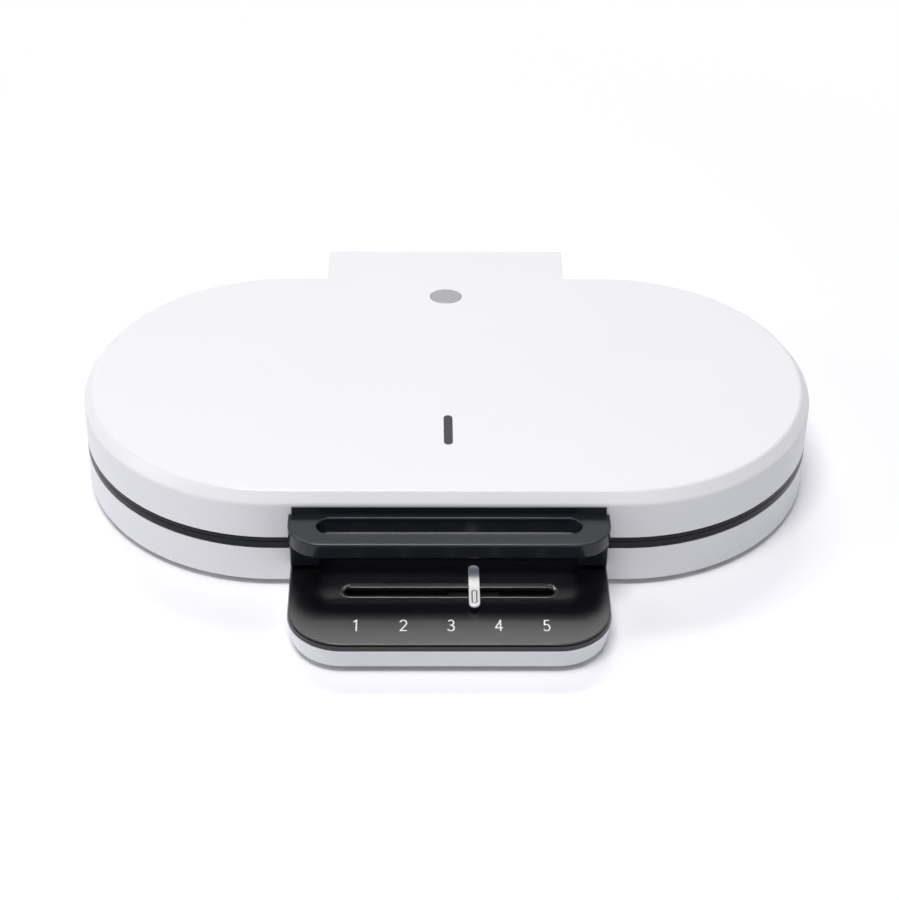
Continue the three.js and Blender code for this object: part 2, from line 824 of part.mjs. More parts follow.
// Handle apron: an arm under each end of the grip and a low bar on the body's wall between them
function handleApron() {
  const topZ = handleBottomZ - gap;
  const bottomZ = lidTopZ - apronBottomDrop;
  const rearY = handleFloorY - gap;
  const arms = [[-armOuter, -armInner], [armInner, armOuter]].map(([x0, x1]) => {
    return block(x0, x1, -bodyRadius - armReach, rearY, bottomZ, topZ);
  });
  const bar = block(-armOuter, armOuter, rearY - apronBarThickness, rearY, bottomZ, bottomZ + apronBarHeight);
  return join(bar, ...arms);
}

piece('handle_apron', handleApron(), finish.blackPlastic);

// Handle screws go forward through the lid's wall into the grip
[-1, 1].forEach((side, i) => {
  const geometry = screw(handleScrewLength).rotateX(quarterTurn);
  geometry.translate(side * handleScrewX, -innerRadius + gap, handleScrewZ);
  piece(`handle_screw_${i + 1}`, geometry, finish.steel);
});

// Indicator lens, its lamp and the holder under the lid
const lensFlangeOutline = moved(
  quarterTurned(pill(lensLength / 2 + lensFlange, lensWidth + lensFlange * 2)), 0, lensY,
);
const lensSeatZ = lidCeilingZ - gap;
const holderHalfX = lensWidth / 2 + lensFlange + gap + holderWall;
const holderHalfY = lensLength / 2 + lensFlange + gap + holderWall;
const lampZ = lensSeatZ - holderHeight + holderWall + gap + lampRadius;

piece('indicator_lens', join(
  slab(lensOutline, lensSeatZ - lensFlangeThickness / 2, lidTopZ + lensProud),
  slab(lensFlangeOutline, lensSeatZ - lensFlangeThickness, lensSeatZ),
), finish.smokedLens);

const lamp = rod(lampRadius, -lampLength / 2, lampLength / 2, smallRoundSteps);
piece('indicator_lamp', lamp.rotateX(quarterTurn).translate(0, lensY, lampZ), finish.lampGlass);

const holderInsideX = holderHalfX - holderWall;
const holderInsideY = holderHalfY - holderWall;
const holderBottomZ = lensSeatZ - holderHeight;
piece('lamp_holder', cut(
  block(-holderHalfX, holderHalfX, lensY - holderHalfY, lensY + holderHalfY, holderBottomZ, lensSeatZ),
  block(
    -holderInsideX, holderInsideX, lensY - holderInsideY, lensY + holderInsideY,
    holderBottomZ + holderWall, lensSeatZ + overrun,
  ),
), finish.ceramic);

const discBottomZ = lidTopZ + discProud - discThickness;
piece('lid_disc', slab(discOutline(0), discBottomZ, lidTopZ + discProud), finish.discMetal);

// Base shell: oval tub with the control box on its front and the hinge housing on its back
const panelTopZ = lidTopZ - panelTopDrop;
const panelBottomZ = panelTopZ - panelEdge;
const boxTopZ = panelBottomZ - gap;
const housingTopZ = baseBottomZ + housingHeight;
const coverBottomZ = baseBottomZ + coverRecess;
const coverTopZ = coverBottomZ + coverThickness;
const postBottomZ = coverTopZ + gap;
const panelRearY = -bodyRadius - gap;
const tubReach = bodyRadius / 2;
const postRing = innerRadius - postRadius + postBury;
const postAngle = halfTurn * postAngleShare;
const cornerX = panelHalfWidth - panelCornerRadius;
const cornerY = -frontReach + panelCornerRadius;
const cornerReach = (panelCornerRadius - wall - boxTaper - postRadius + postBury) * Math.SQRT1_2;
const postPlaces = [
  ...squareCorners.map(([sx, sy]) => [
    sx * (bodyHalfStraight + postRing * Math.sin(postAngle)), sy * postRing * Math.cos(postAngle),
  ]),
  ...[-1, 1].map((side) => [side * (cornerX + cornerReach), cornerY - cornerReach]),
];

// The control box in plan at one level, drawn in by inset; its walls lean in to the bottom
function boxOutline(inset, z, rearY) {
  const lean = (boxTaper * (boxTopZ - z)) / (boxTopZ - baseBottomZ);
  const total = inset + lean;
  return roundFront(panelHalfWidth - total, -frontReach + total, rearY, panelCornerRadius - total);
}

function housingOutline(inset, startY) {
  const outline = roundFront(housingHalfWidth - inset, -housingReach + inset, -startY, housingCorner - inset);
  return turnedAbout(outline, halfTurn, 0, 0);
}

function baseShell() {
  const boxRearY = -tubReach;
  const outside = join(
    slab(oval(bodyRadius), baseBottomZ, baseTopZ),
    loft([
      { outline: boxOutline(0, baseBottomZ, boxRearY), z: baseBottomZ },
      { outline: boxOutline(0, boxTopZ, boxRearY), z: boxTopZ },
    ]),
    slab(housingOutline(0, tubReach), baseBottomZ, housingTopZ),
  );
  const lowZ = baseBottomZ - overrun;
  const hollow = cut(
    outside,
    slab(oval(innerRadius), lowZ, baseTopZ + overrun),
    loft([
      { outline: boxOutline(wall, lowZ, -tubReach), z: lowZ },
      { outline: boxOutline(wall, boxTopZ, -tubReach), z: boxTopZ },
    ]),
    slab(boxOutline(wall, boxTopZ, panelRearY), boxTopZ - overrun, boxTopZ + overrun),
    slab(housingOutline(wall, tubReach), lowZ, housingTopZ - wall),
  );
  const posts = postPlaces.map(([x, y]) => {
    return rod(postRadius, postBottomZ, postBottomZ + postHeight, smallRoundSteps).translate(x, y, 0);
  });
  const screwHoles = postPlaces.map(([x, y]) => {
    const topZ = coverBottomZ - gap + coverScrewLength + gap;
    return rod(screwShankRadius + gap, lowZ, topZ, smallRoundSteps).translate(x, y, 0);
  });
  const cordHole = holeAlongY(
    glandX, housingReach - wall - overrun, housingReach + overrun, glandZ, glandRadius + gap,
  );
  return cut(join(hollow, ...posts), ...screwHoles, cordHole);
}

piece('base_shell', baseShell(), finish.whitePlastic);

// Base cover: one plate inside the foot of the shell, with vents, foot holes and screw holes
const footPlaces = [
  ...[-1, 1].map((side) => [side * (bodyHalfStraight + frontFootOffset), frontFootInset - bodyRadius]),
  ...[-1, 1].map((side) => [side * rearFootX, housingReach - rearFootInset]),
];

function baseCover() {
  const inset = wall + gap;
  const plate = join(
    slab(oval(innerRadius - gap), coverBottomZ, coverTopZ),
    loft([
      { outline: boxOutline(inset, coverBottomZ, -tubReach), z: coverBottomZ },
      { outline: boxOutline(inset, coverTopZ, -tubReach), z: coverTopZ },
    ]),
    slab(housingOutline(inset, tubReach), coverBottomZ, coverTopZ),
  );
  const lowZ = coverBottomZ - overrun;
  const highZ = coverTopZ + overrun;
  const vents = [];
  for (const side of [-1, 1]) {
    for (let i = 0; i < ventCount; i += 1) {
      const x = side * bodyHalfStraight + (i - (ventCount - 1) / 2) * ventPitch;
      vents.push(block(x - ventWidth / 2, x + ventWidth / 2, -ventLength / 2, ventLength / 2, lowZ, highZ));
    }
  }
  const round = (places, radius) => places.map(([x, y]) => {
    return rod(radius, lowZ, highZ, smallRoundSteps).translate(x, y, 0);
  });
  return cut(
    plate,
    ...vents,
    ...round(postPlaces, screwShankRadius + gap),
    ...round(footPlaces, footPlugRadius + gap),
  );
}

piece('base_cover', baseCover(), finish.darkPlastic);

postPlaces.forEach(([x, y], i) => {
  const geometry = screw(coverScrewLength).translate(x, y, coverBottomZ - gap);
  piece(`cover_screw_${i + 1}`, geometry, finish.steel);
});

footPlaces.forEach(([x, y], i) => {
  const topZ = coverBottomZ - gap;
  const foot = turned([
    [0, 0], [footRadius - footFlare, 0], [footRadius, footFlare], [footRadius, topZ],
    [footPlugRadius, topZ], [footPlugRadius, coverTopZ], [0, coverTopZ],
  ], smallRoundSteps);
  piece(`foot_${i + 1}`, foot, finish.rubber).position.set(x, y, 0);
});

// Control panel: a lid with a turned-down rim, recessed for the bezel round the slot
const slotY = -slotCentre;
const panelCeilingZ = panelTopZ - panelSkin;
const bezelSeatZ = panelTopZ - bezelHeight * bezelSinkShare;
const bezelTopZ = bezelSeatZ + bezelHeight;

function controlPanel() {
  const outside = (inset) => roundFront(
    panelHalfWidth - inset, -frontReach + inset, panelRearY, panelCornerRadius - inset,
  );
  const shell = loft([
    { outline: outside(0), z: panelBottomZ },
    { outline: outside(0), z: panelTopZ - panelBevel },
    { outline: outside(panelBevel), z: panelTopZ },
  ]);
  const inside = roundFront(
    panelHalfWidth - panelRim, -frontReach + panelRim, panelRearY - panelRim, panelCornerRadius - panelRim,
  );
  const throat = bezelThroat + gap;
  const flange = bezelRim + gap;
  return cut(
    shell,
    slab(inside, panelBottomZ - overrun, panelCeilingZ),
    slab(pill(slotHalfLength + throat, slotWidth + throat * 2, slotY), panelBottomZ, panelTopZ + overrun),
    slab(pill(slotHalfLength + flange, slotWidth + flange * 2, slotY), bezelSeatZ - gap, panelTopZ + overrun),
  );
}

// The bezel slopes down from a narrow lip to the slot
function sliderBezel() {
  const around = (grow) => pill(slotHalfLength + grow, slotWidth + grow * 2, slotY);
  return cut(
    join(
      slab(around(bezelRim), bezelSeatZ, bezelTopZ),
      slab(around(bezelThroat), panelCeilingZ, bezelSeatZ + bezelHeight / 2),
    ),
    loft([
      { outline: around(0), z: panelCeilingZ - overrun },
      { outline: around(0), z: bezelTopZ - bezelSlopeDepth },
      { outline: around(bezelRim - bezelLip), z: bezelTopZ },
      { outline: around(bezelRim - bezelLip), z: bezelTopZ + overrun },
    ]),
  );
}

piece('control_panel', controlPanel(), finish.blackPanel);
piece('slider_bezel', sliderBezel(), finish.darkPlastic);

// Slider: the knob's stem stands in the carriage, which runs between two guides
const carriageTopZ = panelCeilingZ - carriageDrop;
const carriageBottomZ = carriageTopZ - carriageThickness;
const leverBottomZ = shaftBottomZ + leverLift;
const knobBottomZ = bezelTopZ + gap * 2;

const slider = new THREE.Group();
slider.position.set(sliderRest, slotY, 0);
body.add(slider);

function sliderKnob() {
  const plan = (inset) => quarterTurned(pill(knobLength / 2 - inset, knobWidth - inset * 2));
  const top = knobBottomZ + knobHeight;
  const cap = loft([
    { outline: plan(0), z: knobBottomZ },
    { outline: plan(0), z: top - knobEdge },
    { outline: plan(knobEdge), z: top },
  ]);
  const stem = block(
    -stemLength / 2, stemLength / 2, -stemWidth / 2, stemWidth / 2,
    carriageTopZ - socketDepth + gap, knobBottomZ + knobHeight / 2,
  );
  const markY = -knobLength / 2 + knobWidth / 2 + knobMarkLength / 2;
  const markOutline = moved(quarterTurned(pill(knobMarkLength / 2, knobMarkWidth)), 0, markY);
  const mark = slab(markOutline, top - knobMarkDepth, top + overrun);
  return cut(join(cap, stem), mark);
}

function sliderCarriage() {
  const halfX = carriageLength / 2;
  const halfY = carriageWidth / 2;
  const sled = block(-halfX, halfX, -halfY, halfY, carriageBottomZ, carriageTopZ);
  const pinTopZ = carriageBottomZ + carriageThickness * pinBuryShare;
  const pin = rod(pinRadius, leverBottomZ - gap, pinTopZ, smallRoundSteps);
  const socketX = stemLength / 2 + gap;
  const socketY = stemWidth / 2 + gap;
  const socket = block(
    -socketX, socketX, -socketY, socketY, carriageTopZ - socketDepth, carriageTopZ + overrun,
  );
  return cut(join(sled, pin), socket);
}

piece('slider_knob', sliderKnob(), finish.knobMetal, slider);
piece('slider_carriage', sliderCarriage(), finish.darkPlastic, slider);

function slideGuide(side) {
  const inner = carriageWidth / 2 + gap;
  const outer = inner + guideWall;
  const lipTopZ = carriageBottomZ - gap;
  const lipBottomZ = lipTopZ - guideLipHeight;
  const section = new THREE.Shape([
    [inner - guideLip, lipBottomZ], [outer, lipBottomZ], [outer, panelCeilingZ - gap],
    [inner, panelCeilingZ - gap], [inner, lipTopZ], [inner - guideLip, lipTopZ],
  ].map(([y, z]) => new THREE.Vector2(y, z)));
  const guide = alongX(section, -guideHalfLength, guideHalfLength);
  return side > 0 ? guide.translate(0, slotY, 0) : guide.rotateZ(halfTurn).translate(0, slotY, 0);
}

piece('slide_guide_rear', slideGuide(1), finish.darkPlastic);
piece('slide_guide_front', slideGuide(-1), finish.darkPlastic);

// Thermostat: body against the lower plate, held by a hat-shaped bracket
const thermostatTopZ = plateBottomZ - gap;
const thermostatBottomZ = thermostatTopZ - thermostatHeight;
const shaftTopZ = thermostatBottomZ + shaftBoreDepth - gap;

const thermostatBody = turned([
  [0, thermostatBottomZ + shaftBoreDepth],
  [shaftRadius + gap, thermostatBottomZ + shaftBoreDepth],
  [shaftRadius + gap, thermostatBottomZ],
  [thermostatRadius - thermostatStep, thermostatBottomZ],
  [thermostatRadius - thermostatStep, thermostatBottomZ + thermostatHeight / 2],
  [thermostatRadius, thermostatBottomZ + thermostatHeight / 2],
  [thermostatRadius, thermostatTopZ],
  [0, thermostatTopZ],
]);
piece('thermostat_body', thermostatBody.translate(0, -thermostatSetback, 0), finish.ceramic);

function thermostatBracket() {
  const lowZ = thermostatBottomZ - gap - bracketThickness;
  const topZ = thermostatTopZ;
  const legX = bracketLegX + bracketThickness;
  const footX = legX + bracketFoot;
  const halfY = bracketWidth / 2;
  const strap = join(
    block(-legX, legX, -halfY, halfY, lowZ, lowZ + bracketThickness),
    ...[-1, 1].map((side) => {
      const [x0, x1] = side > 0 ? [bracketLegX, legX] : [-legX, -bracketLegX];
      return block(x0, x1, -halfY, halfY, lowZ, topZ);
    }),
    ...[-1, 1].map((side) => {
      const [x0, x1] = side > 0 ? [bracketLegX, footX] : [-footX, -bracketLegX];
      return block(x0, x1, -halfY, halfY, topZ - bracketThickness, topZ);
    }),
  );
  const hole = rod(shaftRadius + gap * 2, lowZ - overrun, lowZ + overrun, smallRoundSteps);
  return cut(strap, hole).translate(0, -thermostatSetback, 0);
}

piece('thermostat_bracket', thermostatBracket(), finish.steel);

// Shaft and forked lever, turned to the slider's place at rest
const lever = new THREE.Group();
lever.position.set(0, -thermostatSetback, 0);
lever.rotation.z = (leverSweep * sliderRest) / sliderHalfTravel;
body.add(lever);

function leverGeometry() {
  const armHalf = leverArmWidth / 2;
  const forkHalf = leverForkWidth / 2;
  const slotHalf = leverSlotWidth / 2;
  const forkStart = leverLength - leverForkWidth;
  const shape = new THREE.Shape();
  const hubAngle = Math.asin(armHalf / leverHubRadius);
  shape.moveTo(armHalf, -leverHubRadius * Math.cos(hubAngle));
  shape.absarc(0, 0, leverHubRadius, hubAngle - quarterTurn, halfTurn + quarterTurn - hubAngle, false);
  shape.lineTo(-armHalf, -forkStart);
  shape.lineTo(-forkHalf, -forkStart - forkHalf);
  shape.lineTo(-forkHalf, -leverEndReach);
  shape.lineTo(-slotHalf, -leverEndReach);
  shape.lineTo(-slotHalf, -leverLength);
  shape.absarc(0, -leverLength, slotHalf, halfTurn, 0, true);
  shape.lineTo(slotHalf, -leverEndReach);
  shape.lineTo(forkHalf, -leverEndReach);
  shape.lineTo(forkHalf, -forkStart - forkHalf);
  shape.lineTo(armHalf, -forkStart);
  shape.closePath();
  const hole = new THREE.Path();
  hole.absarc(0, 0, shaftRadius + gap, 0, fullTurn, true);
  shape.holes.push(hole);
  const options = { depth: leverThickness, bevelEnabled: false, curveSegments: smallRoundSteps };
  return new THREE.ExtrudeGeometry(shape, options).translate(0, 0, leverBottomZ);
}

piece('thermostat_lever', leverGeometry(), finish.steel, lever);
piece('thermostat_shaft', rod(shaftRadius, shaftBottomZ, shaftTopZ), finish.steel, lever);

// Thermal fuse under the lower plate, in its clip
const fuseZ = plateBottomZ - gap * 2 - fuseRadius;
const fuse = rod(fuseRadius, -fuseLength / 2, fuseLength / 2, smallRoundSteps);
piece('thermal_fuse', fuse.rotateY(quarterTurn).translate(fuseX, fuseY, fuseZ), finish.ceramic);

function fuseClip() {
  const inner = fuseRadius + gap;
  const outer = inner + fuseClipWall;
  const topZ = plateBottomZ - gap - fuseZ;
  const footZ = topZ - fuseClipWall;
  const shape = new THREE.Shape();
  shape.moveTo(-outer - fuseClipFoot, footZ);
  shape.lineTo(-outer, footZ);
  shape.absarc(0, 0, outer, halfTurn, fullTurn, false);
  shape.lineTo(outer, footZ);
  shape.lineTo(outer + fuseClipFoot, footZ);
  shape.lineTo(outer + fuseClipFoot, topZ);
  shape.lineTo(inner, topZ);
  shape.absarc(0, 0, inner, 0, -halfTurn, true);
  shape.lineTo(-inner, topZ);
  shape.lineTo(-outer - fuseClipFoot, topZ);
  shape.closePath();
  const start = fuseX - fuseClipLength / 2;
  return alongX(shape, start, start + fuseClipLength).translate(0, fuseY, fuseZ);
}

piece('fuse_clip', fuseClip(), finish.steel);

// Terminal block on the cover, inside the hinge housing
function terminalBlock() {
  const halfX = terminalWidth / 2;
  const halfY = terminalDepth / 2;
  const bottomZ = coverTopZ + gap;
  const box = block(
    terminalX - halfX, terminalX + halfX, terminalSetback - halfY, terminalSetback + halfY,
    bottomZ, bottomZ + terminalHeight,
  );
  const pitch = terminalWidth / terminalHoles;
  const holes = [];
  const [y0, y1] = [terminalSetback - halfY - overrun, terminalSetback + halfY + overrun];
  for (let i = 0; i < terminalHoles; i += 1) {
    const x = terminalX - halfX + pitch * (i + 1 / 2);
    holes.push(holeAlongY(x, y0, y1, bottomZ + terminalHeight / 2, terminalHoleRadius));
  }
  return cut(box, ...holes);
}

piece('terminal_block', terminalBlock(), finish.ceramic);

// Cord gland in the back wall of the housing: a flanged bush with an open bore
const glandProfile = [
  [glandBoreRadius, -glandBarrel], [glandRadius, -glandBarrel], [glandRadius, gap],
  [glandRadius + glandFlange, gap], [glandRadius + glandFlange, gap + glandFlangeThickness],
  [glandBoreRadius, gap + glandFlangeThickness], [glandBoreRadius, -glandBarrel],
];
const gland = turned(glandProfile).rotateX(-quarterTurn);
piece('cord_gland', gland.translate(glandX, housingReach, glandZ), finish.rubber);

// Hinge: two brackets on the housing, each with a bush, and one pin through to the cheeks
const lugOuterX = bossInner - gap * 2;
const lugInnerX = lugOuterX - lugThickness;
const lugHoleRadius = hingePinRadius + gap + bushWall + gap;
const lugFootZ = housingTopZ + gap;

function lugShape() {
  const shape = new THREE.Shape();
  const meetY = lugFootEnd - hingeSetback;
  const meetAngle = fullTurn - Math.acos(meetY / lugRadius);
  const leaveAngle = halfTurn * lugLeaveShare;
  shape.moveTo(cheekStart, lugFootZ);
  shape.lineTo(lugFootEnd, lugFootZ);
  shape.lineTo(lugFootEnd, hingeZ + lugRadius * Math.sin(meetAngle));
  shape.absarc(hingeSetback, hingeZ, lugRadius, meetAngle, fullTurn + leaveAngle, false);
  shape.lineTo(cheekStart, hingeZ - lugRadius / 2);
  shape.closePath();
  return shape;
}

function hingeBracket(side) {
  const [x0, x1] = side > 0 ? [lugInnerX, lugOuterX] : [-lugOuterX, -lugInnerX];
  const [f0, f1] = side > 0 ? [x1 - lugFlangeLength, x1] : [x0, x0 + lugFlangeLength];
  const lug = alongX(lugShape(), x0, x1, smallRoundSteps);
  const flange = block(f0, f1, cheekStart, lugFootEnd, lugFootZ, lugFootZ + lugFlangeThickness);
  const hole = rod(lugHoleRadius, x0 - overrun, x1 + overrun).rotateY(quarterTurn);
  return cut(join(lug, flange), hole.translate(0, hingeSetback, hingeZ));
}

function hingeBush(side) {
  const inner = hingePinRadius + gap;
  const outer = inner + bushWall;
  const ring = turned([
    [inner, lugInnerX], [outer, lugInnerX], [outer, lugOuterX], [inner, lugOuterX], [inner, lugInnerX],
  ]);
  return ring.rotateY(side * quarterTurn).translate(0, hingeSetback, hingeZ);
}

for (const [word, side] of [['left', -1], ['right', 1]]) {
  piece(`hinge_bracket_${word}`, hingeBracket(side), finish.darkPlastic);
  piece(`hinge_bush_${word}`, hingeBush(side), finish.ceramic);
}

const pinHalf = socketReach - gap;
const hingePin = rod(hingePinRadius, -pinHalf, pinHalf).rotateY(quarterTurn);
piece('hinge_pin', hingePin.translate(0, hingeSetback, hingeZ), finish.steel);

export default assembly;
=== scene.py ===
import json
import math

import bmesh
import bpy
from mathutils import Matrix, Vector


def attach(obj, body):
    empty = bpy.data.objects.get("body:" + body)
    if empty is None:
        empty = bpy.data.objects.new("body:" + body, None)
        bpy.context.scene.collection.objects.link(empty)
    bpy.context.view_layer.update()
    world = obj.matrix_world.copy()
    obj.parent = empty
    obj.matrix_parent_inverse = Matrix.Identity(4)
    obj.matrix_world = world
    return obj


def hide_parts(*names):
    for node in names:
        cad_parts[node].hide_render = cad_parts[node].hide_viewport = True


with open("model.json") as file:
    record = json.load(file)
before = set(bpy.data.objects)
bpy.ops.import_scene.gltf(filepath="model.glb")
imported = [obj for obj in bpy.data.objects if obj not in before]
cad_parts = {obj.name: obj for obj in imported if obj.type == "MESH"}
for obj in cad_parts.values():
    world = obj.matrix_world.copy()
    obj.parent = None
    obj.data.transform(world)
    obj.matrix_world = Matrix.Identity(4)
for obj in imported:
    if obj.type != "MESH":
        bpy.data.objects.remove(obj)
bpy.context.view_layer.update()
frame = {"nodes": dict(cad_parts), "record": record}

MM = 0.001
SHIFT_Y = 26.0

# Body
RADIUS = 125.0
HALF = 106.0
BASE_Z = 4.0
BASE_TOP = 28.9
BOX_TOP = 17.9
PARTING = 34.1
LID_Z = 37.3
TOP = 69.0
WALL = 2.6
CHAMFER_IN = 5.7
CHAMFER_DROP = 6.9
FRONT = -207.0
REAR = 155.0
GAP = 0.3
OVAL_STEPS = 40
SHARP_ANGLE = 32.0

# On the lid
LENS_HALF = 15.3
LENS_WIDTH = 4.9
LENS_Y = -58.0
DISC_WIDE = 10.4
DISC_DEEP = 8.5
DISC_Y = 96.5
DISC_SINK = 0.7
DISC_THICK = 0.9
LENS_SINK = 3.0
LENS_THICK = 3.2

# Frames: how far each step of the ring lies inside the body's wall
PLATE_SEAT_IN = 7.4
PLATE_DROP = 3.45
LEDGE_IN = 13.4
LEDGE_THICK = 2.0
COLLAR_IN = 5.3
COLLAR_DROP = 9.0

# Handle
GRIP_HALF = 96.0
GRIP_FRONT = -155.3
GRIP_TOP = 55.5
GRIP_THICK = 10.0
GRIP_CORNER = 20.0
GRIP_SLOT_HALF = 78.5
GRIP_SLOT_WIDTH = 14.7
GRIP_SLOT_Y = -137.0
GRIP_SLOT_DRAFT = 0.9
GRIP_SLOT_RIM = 0.9
FLANGE_HALF = 94.0
FLANGE_TOP = 60.4
FLANGE_DEPTH = 2.4
FLANGE_LEAN = 2.1
SEAT_Y = -125.3
ARM_OUTER = 95.0
ARM_INNER = 77.5
ARM_FRONT = -136.0
ARM_Z = 24.0
BAR_TOP = 33.0
BAR_DEPTH = 2.2

# Control box and slider
PANEL_HALF = 95.6
PANEL_TOP = 22.7
PANEL_Z = 18.2
PANEL_CORNER = 33.0
SEAM = 0.5
BAND_TOP = 21.0
BAND_LEAN = 0.6
GROOVE_DEEP = 0.9
GROOVE_HIGH = 0.8
RIM_BACK = 0.9
PANEL_WALL = 2.4
PANEL_THICK = 2.2
BOX_LEAN = 2.2
SLOT_Y = -157.7
SLOT_HALF = 62.4
SLOT_WIDTH = 7.4
BEZEL_RIM = 2.9
BEZEL_RISE = 0.4
BEZEL_SINK = 0.45
BEZEL_LIP = 0.7
THROAT = 1.5
THROAT_Z = 20.5
SLIDER_X = 14.7
KNOB_WIDTH = 6.5
KNOB_LENGTH = 38.0
KNOB_Z = 23.7
KNOB_TOP = 27.0
CAP_THICK = 1.3
STEM_INSET = 0.35
NECK_HALF_X = 2.5
NECK_HALF_Y = 3.1
NECK_Z = 14.4
MARK_HALF = 6.1
MARK_EDGE = 2.5
MARK_WIDTH = 3.4
MARK_LINE = 0.65
DIGIT_Y = -189.3
DIGIT_X = 0.8
DIGIT_HEIGHT = 9.9
DIGIT_WIDTH = 4.4
DIGIT_PITCH = 27.85
DIGIT_STROKE = 0.88
DIGIT_FLAT = 0.08
ARC_STEPS = 14

# Hinge
HINGE_Y = 141.0
HINGE_Z = 34.1
CHEEK_HALF = 80.0
CHEEK_RADIUS = 14.0
CHEEK_START = 127.0
CHEEK_ROOT = 114.0
CHEEK_HOLLOW = 108.4
BOSS_INNER = 71.4
BOSS_LENGTH = 7.3
BOSS_RADIUS = 8.0
PIN_RADIUS = 3.0
PIN_BORE_HALF = 78.2
HOUSING_HALF = 75.0
HOUSING_START = 60.0
HOUSING_REACH = 150.0
HOUSING_TOP = 19.0
HOUSING_CORNER = 8.0
GLAND_X = 52.0
GLAND_Z = 11.6
GLAND_RADIUS = 4.6

# Edge roundings
LID_EDGE = 1.3
CHEEK_EDGE = 0.7
DISC_EDGE = 0.25
LENS_EDGE = 0.4
BAND_EDGE = 0.35
TUB_EDGE = 1.6
TUB_RIM = 0.4
HOUSING_EDGE = 0.8
GRIP_EDGE = 1.3
GRIP_LOW_EDGE = 0.6
FLANGE_EDGE = 0.35
BAR_EDGE = 0.4
ARM_EDGE = 0.5
PANEL_EDGE = 0.7
BEZEL_EDGE = 0.3
KNOB_EDGE = 0.45
STEM_EDGE = 0.25
MARK_BEVEL = 0.08
SOLID_EDGE = 0.3
PLATE_EDGE = 0.25
HARD_ANGLE = 40.0

# Surface grain, per metre, and its depth in metres
CLOUD_SCALE = 12.0
GRAIN_DEPTH = 0.0002

# Light and camera, in metres and degrees
AMBIENT = 0.23
AMBIENT_TINT = (0.70, 0.76, 1.0, 1)
WARM = (1.0, 0.97, 0.94)
COOL = (0.95, 0.97, 1.0)
FLOOR_HALF = 6.0
FLOOR_TINT = (0.875, 0.88, 0.905, 1)
FLOOR_LIFT = 0.11
FADE_START = 0.34
FADE_END = 0.7
CAMERA_PLACE = (-0.01939, -1.16685, 0.87804)
CAMERA_TURN = -1.0268
CAMERA_DOWN = 35.9946
CAMERA_ROLL = 0.6808
CAMERA_LENS = 90.35

scene = bpy.context.scene


# ---------------------------------------------------------------- helpers for forms

def linked(name, data):
    """A new object in the scene, at the origin."""
    obj = bpy.data.objects.new(name, data)
    scene.collection.objects.link(obj)
    return obj


def mesh_object(bm, name):
    """Writes a bmesh, already in metres, to a new object and frees it."""
    mesh = bpy.data.meshes.new(name)
    bm.to_mesh(mesh)
    bm.free()
    return linked(name, mesh)


def finish_mesh(bm, name):
    """Turns a bmesh drawn in millimetres about the oval's middle into an object in the frame."""
    bmesh.ops.remove_doubles(bm, verts=bm.verts, dist=0.004)
    bmesh.ops.recalc_face_normals(bm, faces=bm.faces)
    bmesh.ops.translate(bm, verts=bm.verts, vec=(0, SHIFT_Y, 0))
    bmesh.ops.scale(bm, verts=bm.verts, vec=(MM, MM, MM))
    return mesh_object(bm, name)


def evaluated_mesh(obj):
    """The object's mesh with its modifiers or curve settings applied."""
    bpy.context.view_layer.update()
    graph = bpy.context.evaluated_depsgraph_get()
    return bpy.data.meshes.new_from_object(obj.evaluated_get(graph))


def outline(bm, points, radii, steps):
    """A flat face through the points, each corner rounded to its own radius."""
    verts = [bm.verts.new(point) for point in points]
    bm.faces.new(verts)
    for vert, radius in zip(verts, radii):
        if radius > 0:
            bmesh.ops.bevel(
                bm, geom=[vert], offset=radius, offset_type="OFFSET", segments=steps,
                profile=0.5, affect="VERTICES", material=-1, clamp_overlap=False,
            )
    bmesh.ops.remove_doubles(bm, verts=bm.verts, dist=0.001)
    return max(bm.faces, key=lambda f: f.calc_area())


def corners(x0, x1, y0, y1, front_radius, rear_radius):
    """The four corners (x, y, radius) of a plan with rounded front and rear corners."""
    front = [(x0, y0, front_radius), (x1, y0, front_radius)]
    return front + [(x1, y1, rear_radius), (x0, y1, rear_radius)]


def oval(radius):
    """The body's long oval: two round ends of the radius, joined by straight sides."""
    return corners(-HALF - radius, HALF + radius, -radius, radius, radius, radius)


def pill(half_length, width, x, y, upright=False):
    """A slot's or a key's plan with round ends."""
    radius = width / 2
    reach_x, reach_y = (radius, half_length) if upright else (half_length, radius)
    return corners(x - reach_x, x + reach_x, y - reach_y, y + reach_y, radius, radius)


def front_box(half_width, front, rear, radius):
    """A plan with round front corners and square rear ones."""
    return corners(-half_width, half_width, front, rear, radius, 0)


def tower(plan, z, *steps, corner_steps=12, down=False):
    """A closed solid: a plan at level z, then steps that draw the outline in and lift or lower it."""
    bm = bmesh.new()
    face = outline(bm, [(x, y, z) for x, y, _ in plan], [radius for _, _, radius in plan], corner_steps)
    if (face.normal.z < 0) != down:
        face.normal_flip()
    twin = bmesh.ops.duplicate(bm, geom=[face])["geom"]
    base = [g for g in twin if isinstance(g, bmesh.types.BMFace)][0]
    base.normal_flip()
    for inset, rise in steps:
        bmesh.ops.inset_individual(bm, faces=[face], thickness=inset, depth=rise, use_even_offset=True)
    bmesh.ops.remove_doubles(bm, verts=bm.verts, dist=0.001)
    return bm


